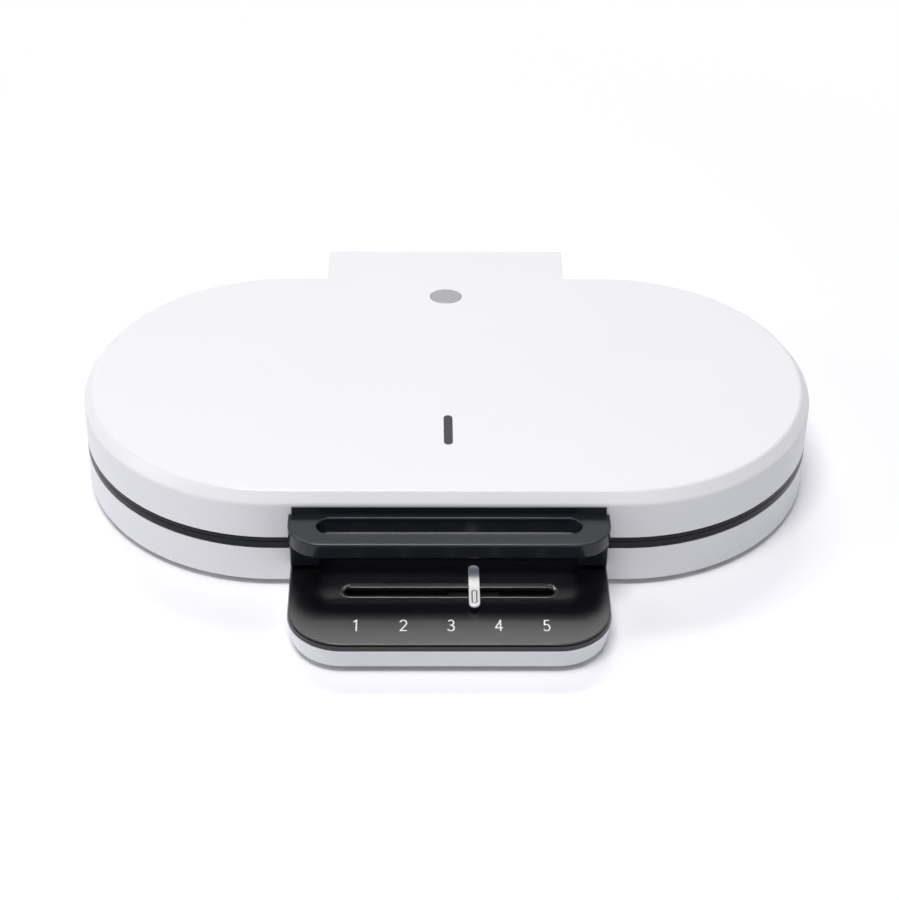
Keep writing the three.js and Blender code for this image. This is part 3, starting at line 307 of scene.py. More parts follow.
def soften(bm, width, segments, low=None, high=None, angle=30.0):
    """Rounds the edges that turn more than the angle, between two levels."""
    edges = []
    for edge in bm.edges:
        if len(edge.link_faces) != 2:
            continue
        zs = [v.co.z for v in edge.verts]
        if low is not None and min(zs) < low or high is not None and max(zs) > high:
            continue
        if edge.calc_face_angle(0.0) > math.radians(angle):
            edges.append(edge)
    if edges:
        bmesh.ops.bevel(
            bm, geom=edges, offset=width, offset_type="OFFSET", segments=segments, profile=0.5,
            affect="EDGES", material=-1, clamp_overlap=True,
        )
    return bm


def block(x0, x1, y0, y1, z0, z1):
    """A plain box between three pairs of levels."""
    bm = bmesh.new()
    bmesh.ops.create_cube(bm, size=1.0)
    bmesh.ops.scale(bm, verts=bm.verts, vec=(x1 - x0, y1 - y0, z1 - z0))
    bmesh.ops.translate(bm, verts=bm.verts, vec=((x0 + x1) / 2, (y0 + y1) / 2, (z0 + z1) / 2))
    return bm


def rod(radius, z0, z1, steps=48):
    """A round bar along Z."""
    bm = bmesh.new()
    bmesh.ops.create_cone(
        bm, cap_ends=True, segments=steps, radius1=radius, radius2=radius, depth=z1 - z0,
    )
    bmesh.ops.translate(bm, verts=bm.verts, vec=(0, 0, (z0 + z1) / 2))
    return bm


def turned(bm, degrees, axis, place):
    """Turns a form about an axis through the origin, then moves it."""
    turn = Matrix.Rotation(math.radians(degrees), 3, axis)
    bmesh.ops.rotate(bm, verts=bm.verts, cent=(0, 0, 0), matrix=turn)
    bmesh.ops.translate(bm, verts=bm.verts, vec=place)
    return bm


def boolean(target, others, operation):
    """Cuts or joins closed objects for good; the others are used up."""
    for other in others:
        modifier = target.modifiers.new(operation, "BOOLEAN")
        modifier.operation = operation
        modifier.solver = "EXACT"
        modifier.object = other
    mesh = evaluated_mesh(target)
    target.modifiers.clear()
    target.data = mesh
    for other in others:
        bpy.data.objects.remove(other)


def cut(target, *forms):
    """Takes the forms away from the target."""
    boolean(target, [finish_mesh(bm, "tool") for bm in forms], "DIFFERENCE")


def fuse(target, *forms):
    """Joins the forms to the target."""
    boolean(target, [finish_mesh(bm, "tool") for bm in forms], "UNION")


def smooth(obj):
    """Smooth shading with the sharp edges kept."""
    obj.data.shade_smooth()
    obj.data.set_sharp_from_angle(angle=math.radians(SHARP_ANGLE))
    modifier = obj.modifiers.new("weights", "WEIGHTED_NORMAL")
    modifier.keep_sharp = True
    return obj


def settle(obj, body, slot, material, *nodes):
    """A finished piece: on its body, with its material, in place of its nodes; its slot is not used."""
    obj.data.materials.clear()
    obj.data.materials.append(material)
    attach(obj, body)
    if nodes:
        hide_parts(*nodes)


# ---------------------------------------------------------------- materials

def new_material(name):
    """A node material, with the parts that its maker works on."""
    material = bpy.data.materials.new(name)
    material.use_nodes = True
    tree = material.node_tree
    return material, tree.nodes, tree.links, tree.nodes["Principled BSDF"]


def surface_group():
    """Fine variation shared by all finishes of the object: a tone mask and a height."""
    group = bpy.data.node_groups.new("moulded_surface", "ShaderNodeTree")
    face = group.interface
    face.new_socket("Vector", in_out="INPUT", socket_type="NodeSocketVector")
    face.new_socket("Grain Scale", in_out="INPUT", socket_type="NodeSocketFloat")
    face.new_socket("Cloud Scale", in_out="INPUT", socket_type="NodeSocketFloat")
    face.new_socket("Tone", in_out="OUTPUT", socket_type="NodeSocketFloat")
    face.new_socket("Height", in_out="OUTPUT", socket_type="NodeSocketFloat")
    nodes, links = group.nodes, group.links
    start = nodes.new("NodeGroupInput")
    end = nodes.new("NodeGroupOutput")
    fine = nodes.new("ShaderNodeTexNoise")
    fine.inputs["Detail"].default_value = 2.0
    wide = nodes.new("ShaderNodeTexNoise")
    wide.inputs["Detail"].default_value = 3.0
    links.new(start.outputs["Vector"], fine.inputs["Vector"])
    links.new(start.outputs["Vector"], wide.inputs["Vector"])
    links.new(start.outputs["Grain Scale"], fine.inputs["Scale"])
    links.new(start.outputs["Cloud Scale"], wide.inputs["Scale"])
    links.new(wide.outputs["Fac"], end.inputs["Tone"])
    links.new(fine.outputs["Fac"], end.inputs["Height"])
    return group


SURFACE = surface_group()


def moulded(
    name, color, roughness, bump, grain=1500.0, spread=0.04, rough_spread=0.06, metallic=0.0, ior=1.5,
):
    """Moulded, cast or lacquered surface with fine grain and slight cloudiness."""
    material, nodes, links, shader = new_material(name)
    coords = nodes.new("ShaderNodeTexCoord")
    group = nodes.new("ShaderNodeGroup")
    group.node_tree = SURFACE
    group.inputs["Grain Scale"].default_value = grain
    group.inputs["Cloud Scale"].default_value = CLOUD_SCALE
    links.new(coords.outputs["Object"], group.inputs["Vector"])
    tone = nodes.new("ShaderNodeMix")
    tone.data_type = "RGBA"
    dark = [c * (1 - spread) for c in color]
    light = [min(1.0, c * (1 + spread)) for c in color]
    tone.inputs["A"].default_value = (*dark, 1)
    tone.inputs["B"].default_value = (*light, 1)
    links.new(group.outputs["Tone"], tone.inputs["Factor"])
    links.new(tone.outputs["Result"], shader.inputs["Base Color"])
    rough = nodes.new("ShaderNodeMapRange")
    rough.inputs["To Min"].default_value = max(0.0, roughness - rough_spread)
    rough.inputs["To Max"].default_value = roughness + rough_spread
    links.new(group.outputs["Tone"], rough.inputs["Value"])
    links.new(rough.outputs["Result"], shader.inputs["Roughness"])
    height = nodes.new("ShaderNodeBump")
    height.inputs["Strength"].default_value = bump
    height.inputs["Distance"].default_value = GRAIN_DEPTH
    links.new(group.outputs["Height"], height.inputs["Height"])
    links.new(height.outputs["Normal"], shader.inputs["Normal"])
    shader.inputs["Metallic"].default_value = metallic
    shader.inputs["IOR"].default_value = ior
    return material


white_plastic = moulded(
    "white_plastic", (0.83, 0.83, 0.835), 0.34, bump=0.03, spread=0.008, rough_spread=0.03,
)
black_plastic = moulded(
    "black_plastic", (0.010, 0.0125, 0.018), 0.16, bump=0.02, spread=0.12, rough_spread=0.015, ior=1.4,
)
panel_black = moulded(
    "panel_black", (0.003, 0.003, 0.005), 0.23,
    grain=2600.0, bump=0.06, spread=0.2, rough_spread=0.015, ior=1.62,
)
band_black = moulded("band_black", (0.006, 0.0075, 0.0105), 0.3, bump=0.05, spread=0.15, ior=1.3)
stem_black = moulded("stem_black", (0.012, 0.013, 0.016), 0.2, bump=0.02, spread=0.15)
dark_plastic = moulded("dark_plastic", (0.03, 0.03, 0.033), 0.5, bump=0.08, spread=0.15)
carriage_black = moulded("carriage_black", (0.005, 0.005, 0.006), 0.6, bump=0.04, spread=0.15, ior=1.3)
bezel_grey = moulded("bezel_grey", (0.02, 0.021, 0.024), 0.2, bump=0.03, spread=0.1, ior=2.0)
nonstick = moulded(
    "nonstick", (0.032, 0.031, 0.031), 0.36, grain=700.0, bump=0.10, spread=0.25, metallic=0.1,
)
rolled = moulded(
    "rolled_aluminium", (0.74, 0.75, 0.77), 0.32, grain=400.0, bump=0.05, metallic=1.0,
)
steel = moulded(
    "zinc_steel", (0.58, 0.59, 0.6), 0.34, grain=500.0, bump=0.06, spread=0.08, metallic=1.0,
)
knob_silver = moulded("pearl_silver", (0.97, 0.97, 0.965), 0.22, bump=0.02, spread=0.01, metallic=0.05)
disc_satin = moulded(
    "disc_satin", (0.31, 0.31, 0.32), 0.3, grain=900.0, bump=0.04, spread=0.05, metallic=0.85,
)
ceramic = moulded("heatproof_moulding", (0.72, 0.69, 0.62), 0.55, bump=0.06, spread=0.06)
rubber = moulded("rubber", (0.022, 0.022, 0.023), 0.8, grain=900.0, bump=0.15, spread=0.2)
lamp_glass = moulded("lamp_glass", (0.75, 0.22, 0.1), 0.12, bump=0.0, spread=0.1)
lens_smoked = moulded("lens_smoked", (0.02, 0.022, 0.028), 0.08, bump=0.0, spread=0.1, ior=1.6)
digit_white = moulded("digit_white", (0.93, 0.93, 0.94), 0.4, bump=0.02, spread=0.02)

REDRAWN = (
    "lid_shell", "lid_disc", "indicator_lens", "lower_frame", "upper_frame", "base_shell",
    "handle_grip", "handle_apron", "control_panel", "slider_bezel", "slider_knob",
)
SLOT_FINISH = {
    "white_shell": white_plastic, "black_trim": black_plastic, "black_panel": panel_black,
    "dark_plastic": dark_plastic, "nonstick_plate": nonstick, "bright_aluminium": rolled,
    "steel": steel, "knob": knob_silver, "disc": disc_satin, "smoked_lens": lens_smoked,
    "lamp_glass": lamp_glass, "ceramic": ceramic, "rubber": rubber,
}
for row in frame["record"]["subparts"]:
    node = frame["nodes"][row["node"]]
    node.data.materials.clear()
    node.data.materials.append(SLOT_FINISH[row["material_slot"]])


# ---------------------------------------------------------------- lid

def cheek_solid():
    """The hinge tongue as one block: round cheeks about the pin's line, top flush with the lid."""
    bm = bmesh.new()
    low = HINGE_Z - CHEEK_RADIUS
    start = HINGE_Y - CHEEK_RADIUS
    top = [(CHEEK_ROOT, TOP), (REAR, TOP)]
    side = top + [(REAR, low), (start, low), (start, LID_Z), (CHEEK_ROOT, LID_Z)]
    radii = (0, 0, CHEEK_RADIUS, CHEEK_RADIUS, 0, 0)
    face = outline(bm, [(-CHEEK_HALF, y, z) for y, z in side], radii, steps=20)
    grown = bmesh.ops.extrude_face_region(bm, geom=[face])["geom"]
    ends = [g for g in grown if isinstance(g, bmesh.types.BMVert)]
    bmesh.ops.translate(bm, verts=ends, vec=(2 * CHEEK_HALF, 0, 0))
    bmesh.ops.recalc_face_normals(bm, faces=bm.faces)
    return soften(bm, CHEEK_EDGE, 3)


def disc_slab(grow, z, height):
    """An elliptical slab at the disc's place."""
    bm = rod(1.0, 0, 1.0, 72)
    bmesh.ops.scale(bm, verts=bm.verts, vec=(DISC_WIDE + grow, DISC_DEEP + grow, height))
    bmesh.ops.translate(bm, verts=bm.verts, vec=(0, DISC_Y, z))
    return bm


def lens_slab(grow, z, height):
    """A round-ended slab at the indicator lens's place."""
    plan = pill(LENS_HALF + grow, LENS_WIDTH + 2 * grow, 0, LENS_Y, upright=True)
    return tower(plan, z, (0, height), corner_steps=8)


def lid_shell():
    """The white lid: a hollow oval with a chamfered top edge, the hinge tongue and its two bosses."""
    rise = TOP - CHAMFER_DROP - LID_Z
    outside = tower(
        oval(RADIUS), LID_Z, (0, rise), (CHAMFER_IN, CHAMFER_DROP), corner_steps=OVAL_STEPS,
    )
    soften(outside, LID_EDGE, 4, low=LID_Z + 5, angle=20)
    shell = finish_mesh(outside, "lid_shell_body")
    fuse(shell, cheek_solid())
    hollow = tower(
        oval(RADIUS - WALL), LID_Z - 2, (0, rise + 2), (CHAMFER_IN, CHAMFER_DROP - WALL),
        corner_steps=OVAL_STEPS,
    )
    cheek_inner = CHEEK_HALF - WALL
    low = HINGE_Z - CHEEK_RADIUS - 2
    cut(
        shell, hollow,
        block(-cheek_inner, cheek_inner, CHEEK_HOLLOW, REAR - WALL, low, TOP - WALL),
        block(-cheek_inner, cheek_inner, CHEEK_START - 2, REAR + 2, low, HINGE_Z + GAP),
    )
    for start in (-BOSS_INNER - BOSS_LENGTH, BOSS_INNER):
        fuse(shell, turned(rod(BOSS_RADIUS, 0, BOSS_LENGTH), 90, "Y", (start, HINGE_Y, HINGE_Z)))
    cut(
        shell,
        turned(rod(PIN_RADIUS + GAP, -PIN_BORE_HALF, PIN_BORE_HALF), 90, "Y", (0, HINGE_Y, HINGE_Z)),
        lens_slab(GAP, TOP - 6, 12),
        disc_slab(GAP, TOP - 1, 4),
    )
    return smooth(shell)


def lid_disc():
    """The bare oval disc, a little proud of the lid."""
    disc = soften(disc_slab(0, TOP - DISC_SINK, DISC_THICK), DISC_EDGE, 3, angle=50)
    return smooth(finish_mesh(disc, "lid_disc_plate"))


def indicator_lens():
    """The smoked window over the lamp."""
    slab = lens_slab(0, TOP - LENS_SINK, LENS_THICK)
    lens = soften(slab, LENS_EDGE, 3, low=TOP - 0.5, angle=50)
    return smooth(finish_mesh(lens, "indicator_window"))


settle(lid_shell(), "lid", "white_shell", white_plastic, "lid_shell")
settle(lid_disc(), "lid", "disc", disc_satin, "lid_disc")
settle(indicator_lens(), "lid", "smoked_lens", lens_smoked, "indicator_lens")


# ---------------------------------------------------------------- frames and base

def frame_ring(name, low, high, upward):
    """One of the two dark bands, with the ledge that carries the plate and the collar in the shell."""
    def level(z):
        return 2 * PARTING - z if upward else z

    def ring_part(radius, z0, z1):
        z0, z1 = sorted((level(z0), level(z1)))
        return tower(oval(radius), z0, (0, z1 - z0), corner_steps=OVAL_STEPS)

    band = ring_part(RADIUS, low, high)
    soften(band, BAND_EDGE, 2, angle=50)
    ring = finish_mesh(band, name)
    ledge = PARTING - PLATE_DROP
    fuse(ring, ring_part(RADIUS - WALL - GAP, min(ledge - COLLAR_DROP, low - 7), low + 1))
    cut(
        ring,
        ring_part(RADIUS - PLATE_SEAT_IN, ledge, high + 2),
        ring_part(RADIUS - LEDGE_IN, ledge - LEDGE_THICK, ledge + 1),
        ring_part(RADIUS - COLLAR_IN, ledge - 30, ledge - LEDGE_THICK),
    )
    return smooth(ring)


lower_band = frame_ring("lower_band", BASE_TOP + GAP, PARTING - GAP / 2, upward=False)
settle(lower_band, "base", "black_trim", band_black, "lower_frame")
upper_band = frame_ring("upper_band", 2 * PARTING - LID_Z + GAP, PARTING - GAP / 2, upward=True)
settle(upper_band, "lid", "black_trim", band_black, "upper_frame")


def lean_box(inset, z_top, z_low, rear):
    """The control box: its walls lean in towards the bottom."""
    plan = front_box(PANEL_HALF - inset, FRONT + inset, rear, PANEL_CORNER - inset)
    lean = BOX_LEAN * (z_top - z_low) / (BOX_TOP - BASE_Z)
    return tower(plan, z_top, (lean, z_top - z_low), corner_steps=24, down=True)


def rear_housing(inset, z_low, z_top):
    """The box behind the oval, below the hinge."""
    side = HOUSING_HALF - inset
    corner = HOUSING_CORNER - inset
    start = HOUSING_START + (2 if inset else 0)
    plan = corners(-side, side, start, HOUSING_REACH - inset, 0, corner)
    return tower(plan, z_low, (0, z_top - z_low), corner_steps=8)


def base_shell():
    """The white tub, with the control box in front and the rear housing, open below."""
    tub = tower(oval(RADIUS), BASE_Z, (0, BASE_TOP - BASE_Z), corner_steps=OVAL_STEPS)
    soften(tub, TUB_EDGE, 4, high=BASE_Z + 1)
    soften(tub, TUB_RIM, 2, low=BASE_TOP - 1)
    shell = finish_mesh(tub, "base_tub")
    fuse(shell, soften(lean_box(0, BOX_TOP, BASE_Z, -60), TUB_EDGE, 4, high=BASE_Z + 1))
    fuse(shell, soften(rear_housing(0, BASE_Z, HOUSING_TOP), HOUSING_EDGE, 3))
    panel_seat = front_box(PANEL_HALF - WALL, FRONT + WALL, SEAT_Y, PANEL_CORNER - WALL)
    cut(
        shell,
        tower(oval(RADIUS - WALL), BASE_Z - 2, (0, 40), corner_steps=OVAL_STEPS),
        lean_box(WALL, BOX_TOP, BASE_Z - 2, -62),
        tower(panel_seat, BOX_TOP - 2, (0, 4), corner_steps=24),
        rear_housing(WALL, BASE_Z - 2, HOUSING_TOP - WALL),
        turned(rod(GLAND_RADIUS, 144, 155, 40), -90, "X", (GLAND_X, 0, GLAND_Z)),
    )
    return smooth(shell)


settle(base_shell(), "base", "white_shell", white_plastic, "base_shell")


# ---------------------------------------------------------------- handle

def handle_grip():
    """The grip plate with its long slot and the leaning flange at its rear."""
    low = GRIP_TOP - GRIP_THICK
    plan = front_box(GRIP_HALF, GRIP_FRONT, SEAT_Y, GRIP_CORNER)
    plate = tower(plan, low, (0, GRIP_THICK), corner_steps=20)
    soften(plate, GRIP_EDGE, 5, low=GRIP_TOP - 1)
    soften(plate, GRIP_LOW_EDGE, 3, high=low + 1)
    grip = finish_mesh(plate, "handle_grip_plate")
    rail = block(-FLANGE_HALF, FLANGE_HALF, SEAT_Y - FLANGE_DEPTH, SEAT_Y, low + 2, FLANGE_TOP)
    crest = [v for v in rail.verts if v.co.z > FLANGE_TOP - 0.1 and v.co.y < SEAT_Y - 1]
    bmesh.ops.translate(rail, verts=crest, vec=(0, FLANGE_LEAN, 0))
    fuse(grip, soften(rail, FLANGE_EDGE, 3))
    # The slot widens upwards a little, and its upper rim rounds over in two steps.
    rim, draft = GRIP_SLOT_RIM, GRIP_SLOT_DRAFT
    opening = pill(GRIP_SLOT_HALF - draft, GRIP_SLOT_WIDTH - 2 * draft, 0, GRIP_SLOT_Y)
    cut(grip, tower(
        opening, low - 2, (-draft * 0.85, GRIP_THICK + 2 - rim),
        (-rim * 0.35, rim / 2), (-rim * 0.65, rim / 2), (0, 3), corner_steps=24,
    ))
    return smooth(grip)


def handle_apron():
    """The low bar on the lid's wall and the two short arms under the grip."""
    rear = SEAT_Y - GAP
    bar = block(-ARM_OUTER, ARM_OUTER, rear - BAR_DEPTH, rear, ARM_Z, BAR_TOP)
    apron = finish_mesh(soften(bar, BAR_EDGE, 2), "handle_arms")
    for x0, x1 in ((-ARM_OUTER, -ARM_INNER), (ARM_INNER, ARM_OUTER)):
        arm = block(x0, x1, ARM_FRONT, rear, ARM_Z, GRIP_TOP - GRIP_THICK - GAP)
        fuse(apron, soften(arm, ARM_EDGE, 3))
    return smooth(apron)


settle(handle_grip(), "lid", "black_trim", black_plastic, "handle_grip")
settle(handle_apron(), "lid", "black_trim", black_plastic, "handle_apron")


# ---------------------------------------------------------------- control panel

def slot_plan(grow):
    """The slider's slot, grown all round."""
    return pill(SLOT_HALF + grow, SLOT_WIDTH + 2 * grow, 0, SLOT_Y)


def control_panel():
    """The black cover; from below: a seam to the white box, a leaning band, a groove and the rim."""
    bm = tower(
        front_box(PANEL_HALF - SEAM, FRONT + SEAM, SEAT_Y, PANEL_CORNER - SEAM), PANEL_Z,
        (0, SEAM), (-SEAM, 0), (BAND_LEAN, BAND_TOP - PANEL_Z - SEAM),
        (GROOVE_DEEP, 0), (0, GROOVE_HIGH),
        (RIM_BACK - BAND_LEAN - GROOVE_DEEP, 0), (0, PANEL_TOP - BAND_TOP - GROOVE_HIGH),
        corner_steps=24,
    )
    soften(bm, PANEL_EDGE, 4, low=PANEL_TOP - 0.5)
    panel = finish_mesh(bm, "control_panel_cover")
    inside = front_box(
        PANEL_HALF - PANEL_WALL, FRONT + PANEL_WALL, SEAT_Y - PANEL_WALL, PANEL_CORNER - PANEL_WALL,
    )
    cut(
        panel,
        tower(inside, PANEL_Z - 2, (0, PANEL_TOP - PANEL_THICK - PANEL_Z + 2), corner_steps=20),
        tower(slot_plan(THROAT + GAP), PANEL_Z, (0, 8)),
        tower(slot_plan(BEZEL_RIM + SEAM), PANEL_TOP - 0.5, (0, 4)),
    )
    return smooth(panel)


def slider_bezel():
    """The rim round the slot, which slopes down into a short throat."""
    height = BEZEL_SINK + BEZEL_RISE
    flange = tower(slot_plan(BEZEL_RIM), PANEL_TOP - BEZEL_SINK, (0, height), corner_steps=16)
    soften(flange, BEZEL_EDGE, 3, low=PANEL_TOP)
    bezel = finish_mesh(flange, "slider_surround")
    fuse(bezel, tower(slot_plan(THROAT), THROAT_Z, (0, 2), corner_steps=16))
    slope = (-(BEZEL_RIM - BEZEL_LIP), BEZEL_LIP + BEZEL_RISE)
    cut(bezel, tower(slot_plan(0), PANEL_TOP - 4, (0, 4 - BEZEL_LIP), slope, (0, 1), corner_steps=16))
    return smooth(bezel)


def knob_plan(shrink):
    """The knob's long pill, drawn in all round."""
    return pill(KNOB_LENGTH / 2 - shrink, KNOB_WIDTH - 2 * shrink, SLIDER_X, SLOT_Y, upright=True)


def mark_plan(grow):
    """The long ring on the front half of the knob, grown all round."""
    mark_y = SLOT_Y - KNOB_LENGTH / 2 + MARK_HALF + MARK_EDGE
    return pill(MARK_HALF + grow, MARK_WIDTH + 2 * grow, SLIDER_X, mark_y, upright=True)


def slider_cap():
    """The light plate on top of the knob, with a groove for the ring."""
    plate = tower(knob_plan(0), KNOB_TOP - CAP_THICK, (0, CAP_THICK), corner_steps=16)
    soften(plate, KNOB_EDGE, 4, low=KNOB_TOP - 0.1)
    cap = finish_mesh(plate, "slider_pill")
    cut(cap, tower(mark_plan(0.05), KNOB_TOP - 0.6, (0, 2)))
    return smooth(cap)


def slider_stem():
    """The dark underside of the knob, with the neck that goes down through the slot."""
    height = KNOB_TOP - CAP_THICK - KNOB_Z
    under = tower(knob_plan(STEM_INSET), KNOB_Z, (0, height), corner_steps=16)
    stem = finish_mesh(soften(under, STEM_EDGE, 2, high=KNOB_Z + 0.1), "slider_neck")
    neck = block(
        SLIDER_X - NECK_HALF_X, SLIDER_X + NECK_HALF_X,
        SLOT_Y - NECK_HALF_Y, SLOT_Y + NECK_HALF_Y, NECK_Z, KNOB_Z + 1,
    )
    fuse(stem, neck)
    return smooth(stem)


def slider_mark(name, shrink, low, top):
    """A part of the ring, between two depths below the knob's top."""
    part = tower(mark_plan(-shrink), KNOB_TOP - low, (0, low - top))
    soften(part, MARK_BEVEL, 2, low=KNOB_TOP - top - 0.01)
    return smooth(finish_mesh(part, name))


def arc(x, y, wide, tall, start, stop):
    """Points along part of an ellipse, from one angle to another in degrees."""
    turns = [math.radians(start + (stop - start) * i / ARC_STEPS) for i in range(ARC_STEPS + 1)]
    return [(x + wide * math.cos(t), y + tall * math.sin(t)) for t in turns]


# Strokes of the numerals: x in widths from the middle, y in heights from the foot.
NUMERALS = {
    "1": [[(-0.26, 0.82), (0.17, 1.0)], [(0.12, 1.0), (0.12, 0.0)]],
    "2": [arc(0.0, 0.72, 0.42, 0.26, 165, -30) + [(-0.38, 0.05)], [(-0.48, 0.04), (0.46, 0.04)]],
    "3": [
        arc(-0.03, 0.755, 0.37, 0.225, 150, -90) + [(-0.2, 0.53)],
        [(-0.2, 0.53)] + arc(-0.05, 0.275, 0.44, 0.255, 90, -155),
    ],
    "4": [[(0.2, 0.0), (0.2, 1.0)], [(0.26, 1.0), (-0.48, 0.27)], [(-0.52, 0.29), (0.5, 0.29)]],
    "5": [
        [(0.36, 0.96), (-0.34, 0.96)], [(-0.25, 1.0), (-0.3, 0.54)],
        [(-0.38, 0.52)] + arc(-0.04, 0.31, 0.42, 0.29, 125, -150),
    ],
}


def digit(text, x):
    """One numeral of the scale: a thin printed stroke, just proud of the panel."""
    curve = bpy.data.curves.new("digit_" + text, "CURVE")
    curve.dimensions = "3D"
    curve.bevel_depth = DIGIT_STROKE / 2
    curve.bevel_resolution = 2
    curve.use_fill_caps = True
    for stroke in NUMERALS[text]:
        spline = curve.splines.new("POLY")
        spline.points.add(len(stroke) - 1)
        for point, (px, py) in zip(spline.points, stroke):
            point.co = (px * DIGIT_WIDTH, py * DIGIT_HEIGHT, 0, 1)
    holder = linked("digit_source", curve)
    mesh = evaluated_mesh(holder)
    bpy.data.objects.remove(holder)
    mesh.transform(Matrix.Diagonal((1, 1, DIGIT_FLAT, 1)))
    mesh.transform(Matrix.Translation((x, DIGIT_Y - DIGIT_HEIGHT / 2 + SHIFT_Y, PANEL_TOP + 0.01)))
    mesh.transform(Matrix.Diagonal((MM, MM, MM, 1)))
    return linked("scale_digit_" + text, mesh)


settle(control_panel(), "base", "black_panel", panel_black, "control_panel")
settle(slider_bezel(), "base", "dark_plastic", bezel_grey, "slider_bezel")
settle(slider_cap(), "slider", "knob", knob_silver, "slider_knob")
settle(slider_stem(), "slider", "dark_plastic", stem_black)
# The dark ring on the groove's floor is painted shade: it darkens the narrow groove round the light
# heart beyond the groove's own shade.
settle(slider_mark("slider_ring", 0.0, 0.55, 0.25), "slider", "dark_plastic", dark_plastic)
settle(slider_mark("slider_ring_heart", MARK_LINE, 0.6, 0.02), "slider", "knob", knob_silver)
for index, text in enumerate("12345"):
    settle(digit(text, DIGIT_X + (index - 2) * DIGIT_PITCH), "base", "knob", digit_white)


# ---------------------------------------------------------------- the other solids

def rounded(name, width, keep_width):
    """A merged copy of a plain solid with its hard edges rounded, width in millimetres."""
    bm = bmesh.new()
    bm.from_mesh(frame["nodes"][name].data)
    bmesh.ops.remove_doubles(bm, verts=bm.verts, dist=0.002 * MM)
    bmesh.ops.dissolve_limit(bm, angle_limit=math.radians(1.0), verts=bm.verts, edges=bm.edges)
    hard = [e for e in bm.edges if e.calc_face_angle(0.0) > math.radians(HARD_ANGLE)]
    bmesh.ops.bevel(
        bm, geom=hard, offset=width * MM, offset_type="OFFSET", segments=2, profile=0.5,
        affect="EDGES", material=-1, clamp_overlap=not keep_width,
    )
    return smooth(mesh_object(bm, name + "_rounded"))


bodies = frame["record"]["behaviour"]["bodies"]
body_of = {node: body for body, members in bodies.items() for node in members}
for row in frame["record"]["subparts"]:
    name, slot = row["node"], row["material_slot"]
    if name not in REDRAWN:
        plate = slot == "nonstick_plate"
        finish = carriage_black if name == "slider_carriage" else SLOT_FINISH[slot]
        piece = rounded(name, PLATE_EDGE if plate else SOLID_EDGE, keep_width=plate)
        settle(piece, body_of[name], slot, finish, name)


# ---------------------------------------------------------------- studio

def joined(nodes, links, operation, first, second):
    """The result of a Math node on a socket and a second socket or number."""
    math_node = nodes.new("ShaderNodeMath")
    math_node.operation = operation
    links.new(first, math_node.inputs[0])
    if isinstance(second, float):
        math_node.inputs[1].default_value = second
    else:
        links.new(second, math_node.inputs[1])
    return math_node.outputs["Value"]


def background_rays(nodes, links):
    """1 for the rays that show the background: from the camera, off gloss and through glass."""
    path = nodes.new("ShaderNodeLightPath")
    kinds = path.outputs["Is Camera Ray"]
    for other in ("Is Glossy Ray", "Is Transmission Ray"):
        kinds = joined(nodes, links, "MAXIMUM", kinds, path.outputs[other])
    return kinds


def floor_material():
    """A pale matt floor, white where it is far from the object, with the object's shadow near it."""
    material, nodes, links, shader = new_material("pale_floor")
    shader.inputs["Base Color"].default_value = FLOOR_TINT
    shader.inputs["Roughness"].default_value = 0.5
    shader.inputs["Emission Color"].default_value = (1, 1, 1, 1)
    rays = background_rays(nodes, links)
    links.new(joined(nodes, links, "MULTIPLY", rays, FLOOR_LIFT), shader.inputs["Emission Strength"])
    coords = nodes.new("ShaderNodeTexCoord")
    away = nodes.new("ShaderNodeVectorMath")
    away.operation = "LENGTH"
    links.new(coords.outputs["Object"], away.inputs[0])
    fade = nodes.new("ShaderNodeMapRange")
    fade.interpolation_type = "SMOOTHSTEP"
    fade.inputs["From Min"].default_value = FADE_START
    fade.inputs["From Max"].default_value = FADE_END
    links.new(away.outputs["Value"], fade.inputs["Value"])
    white = nodes.new("ShaderNodeEmission")
    mixed = nodes.new("ShaderNodeMixShader")
    links.new(joined(nodes, links, "MULTIPLY", fade.outputs["Result"], rays), mixed.inputs["Fac"])
    links.new(shader.outputs["BSDF"], mixed.inputs[1])
    links.new(white.outputs["Emission"], mixed.inputs[2])
    links.new(mixed.outputs["Shader"], nodes["Material Output"].inputs["Surface"])
    return material


def floor():
    """The floor that the object stands on."""
    bm = bmesh.new()
    bmesh.ops.create_grid(bm, x_segments=1, y_segments=1, size=FLOOR_HALF)
    plane = mesh_object(bm, "floor")
    plane.data.materials.append(floor_material())


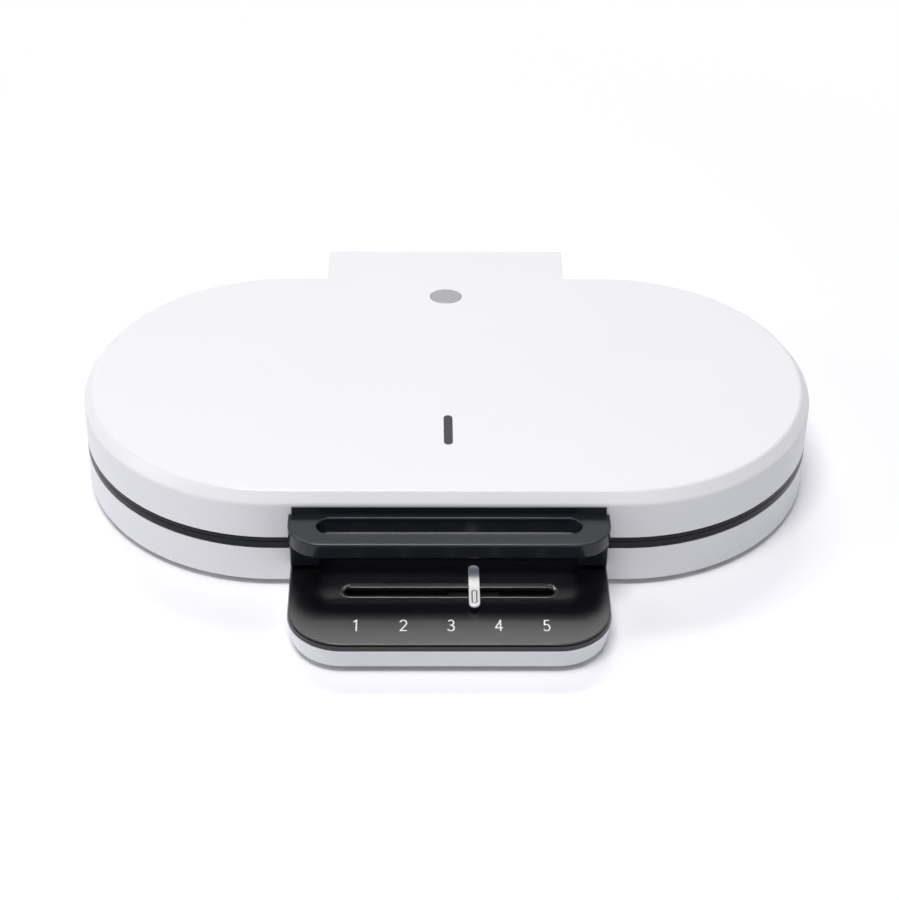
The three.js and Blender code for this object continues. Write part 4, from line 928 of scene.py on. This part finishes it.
def surroundings():
    """A dim, slightly cool light from all round, behind a white backdrop."""
    world = bpy.data.worlds.new("studio")
    scene.world = world
    world.use_nodes = True
    nodes, links = world.node_tree.nodes, world.node_tree.links
    ambient = nodes["Background"]
    ambient.inputs["Color"].default_value = AMBIENT_TINT
    ambient.inputs["Strength"].default_value = AMBIENT
    backdrop = nodes.new("ShaderNodeBackground")
    backdrop.inputs["Color"].default_value = (1, 1, 1, 1)
    backdrop.inputs["Strength"].default_value = 1.0
    chosen = nodes.new("ShaderNodeMixShader")
    links.new(background_rays(nodes, links), chosen.inputs["Fac"])
    links.new(ambient.outputs["Background"], chosen.inputs[1])
    links.new(backdrop.outputs["Background"], chosen.inputs[2])
    links.new(chosen.outputs["Shader"], nodes["World Output"].inputs["Surface"])


def lamp(name, place, target, size, power, tint):
    """A soft rectangular lamp, aimed at a point; metres and watts."""
    data = bpy.data.lights.new(name, "AREA")
    data.shape = "RECTANGLE"
    data.size, data.size_y = size
    data.energy = power
    data.color = tint
    obj = linked(name, data)
    obj.location = place
    aim = Vector(target) - Vector(place)
    obj.rotation_euler = aim.to_track_quat("-Z", "Y").to_euler()


def camera():
    """The photograph's viewpoint."""
    data = bpy.data.cameras.new("camera")
    data.sensor_width = 36.0
    data.lens = CAMERA_LENS
    obj = linked("camera", data)
    turn = Matrix.Rotation(math.radians(CAMERA_TURN), 4, "Z")
    tilt = Matrix.Rotation(math.radians(90.0 - CAMERA_DOWN), 4, "X")
    roll = Matrix.Rotation(math.radians(CAMERA_ROLL), 4, "Z")
    obj.matrix_world = Matrix.Translation(CAMERA_PLACE) @ turn @ tilt @ roll
    scene.camera = obj


floor()
surroundings()
lamp("key_rear_overhead", (-0.3, 2.4, 3.2), (0, 0, 0), (2.2, 0.7), 40.0, WARM)
lamp("soft_overhead", (-0.4, -1.0, 3.65), (0, 0, 0), (1.7, 1.0), 96.0, WARM)
lamp("fill_left", (-3.2, -0.7, 1.5), (0, 0, 0.05), (1.6, 1.6), 21.0, COOL)
camera()
scene.view_settings.view_transform = "Standard"
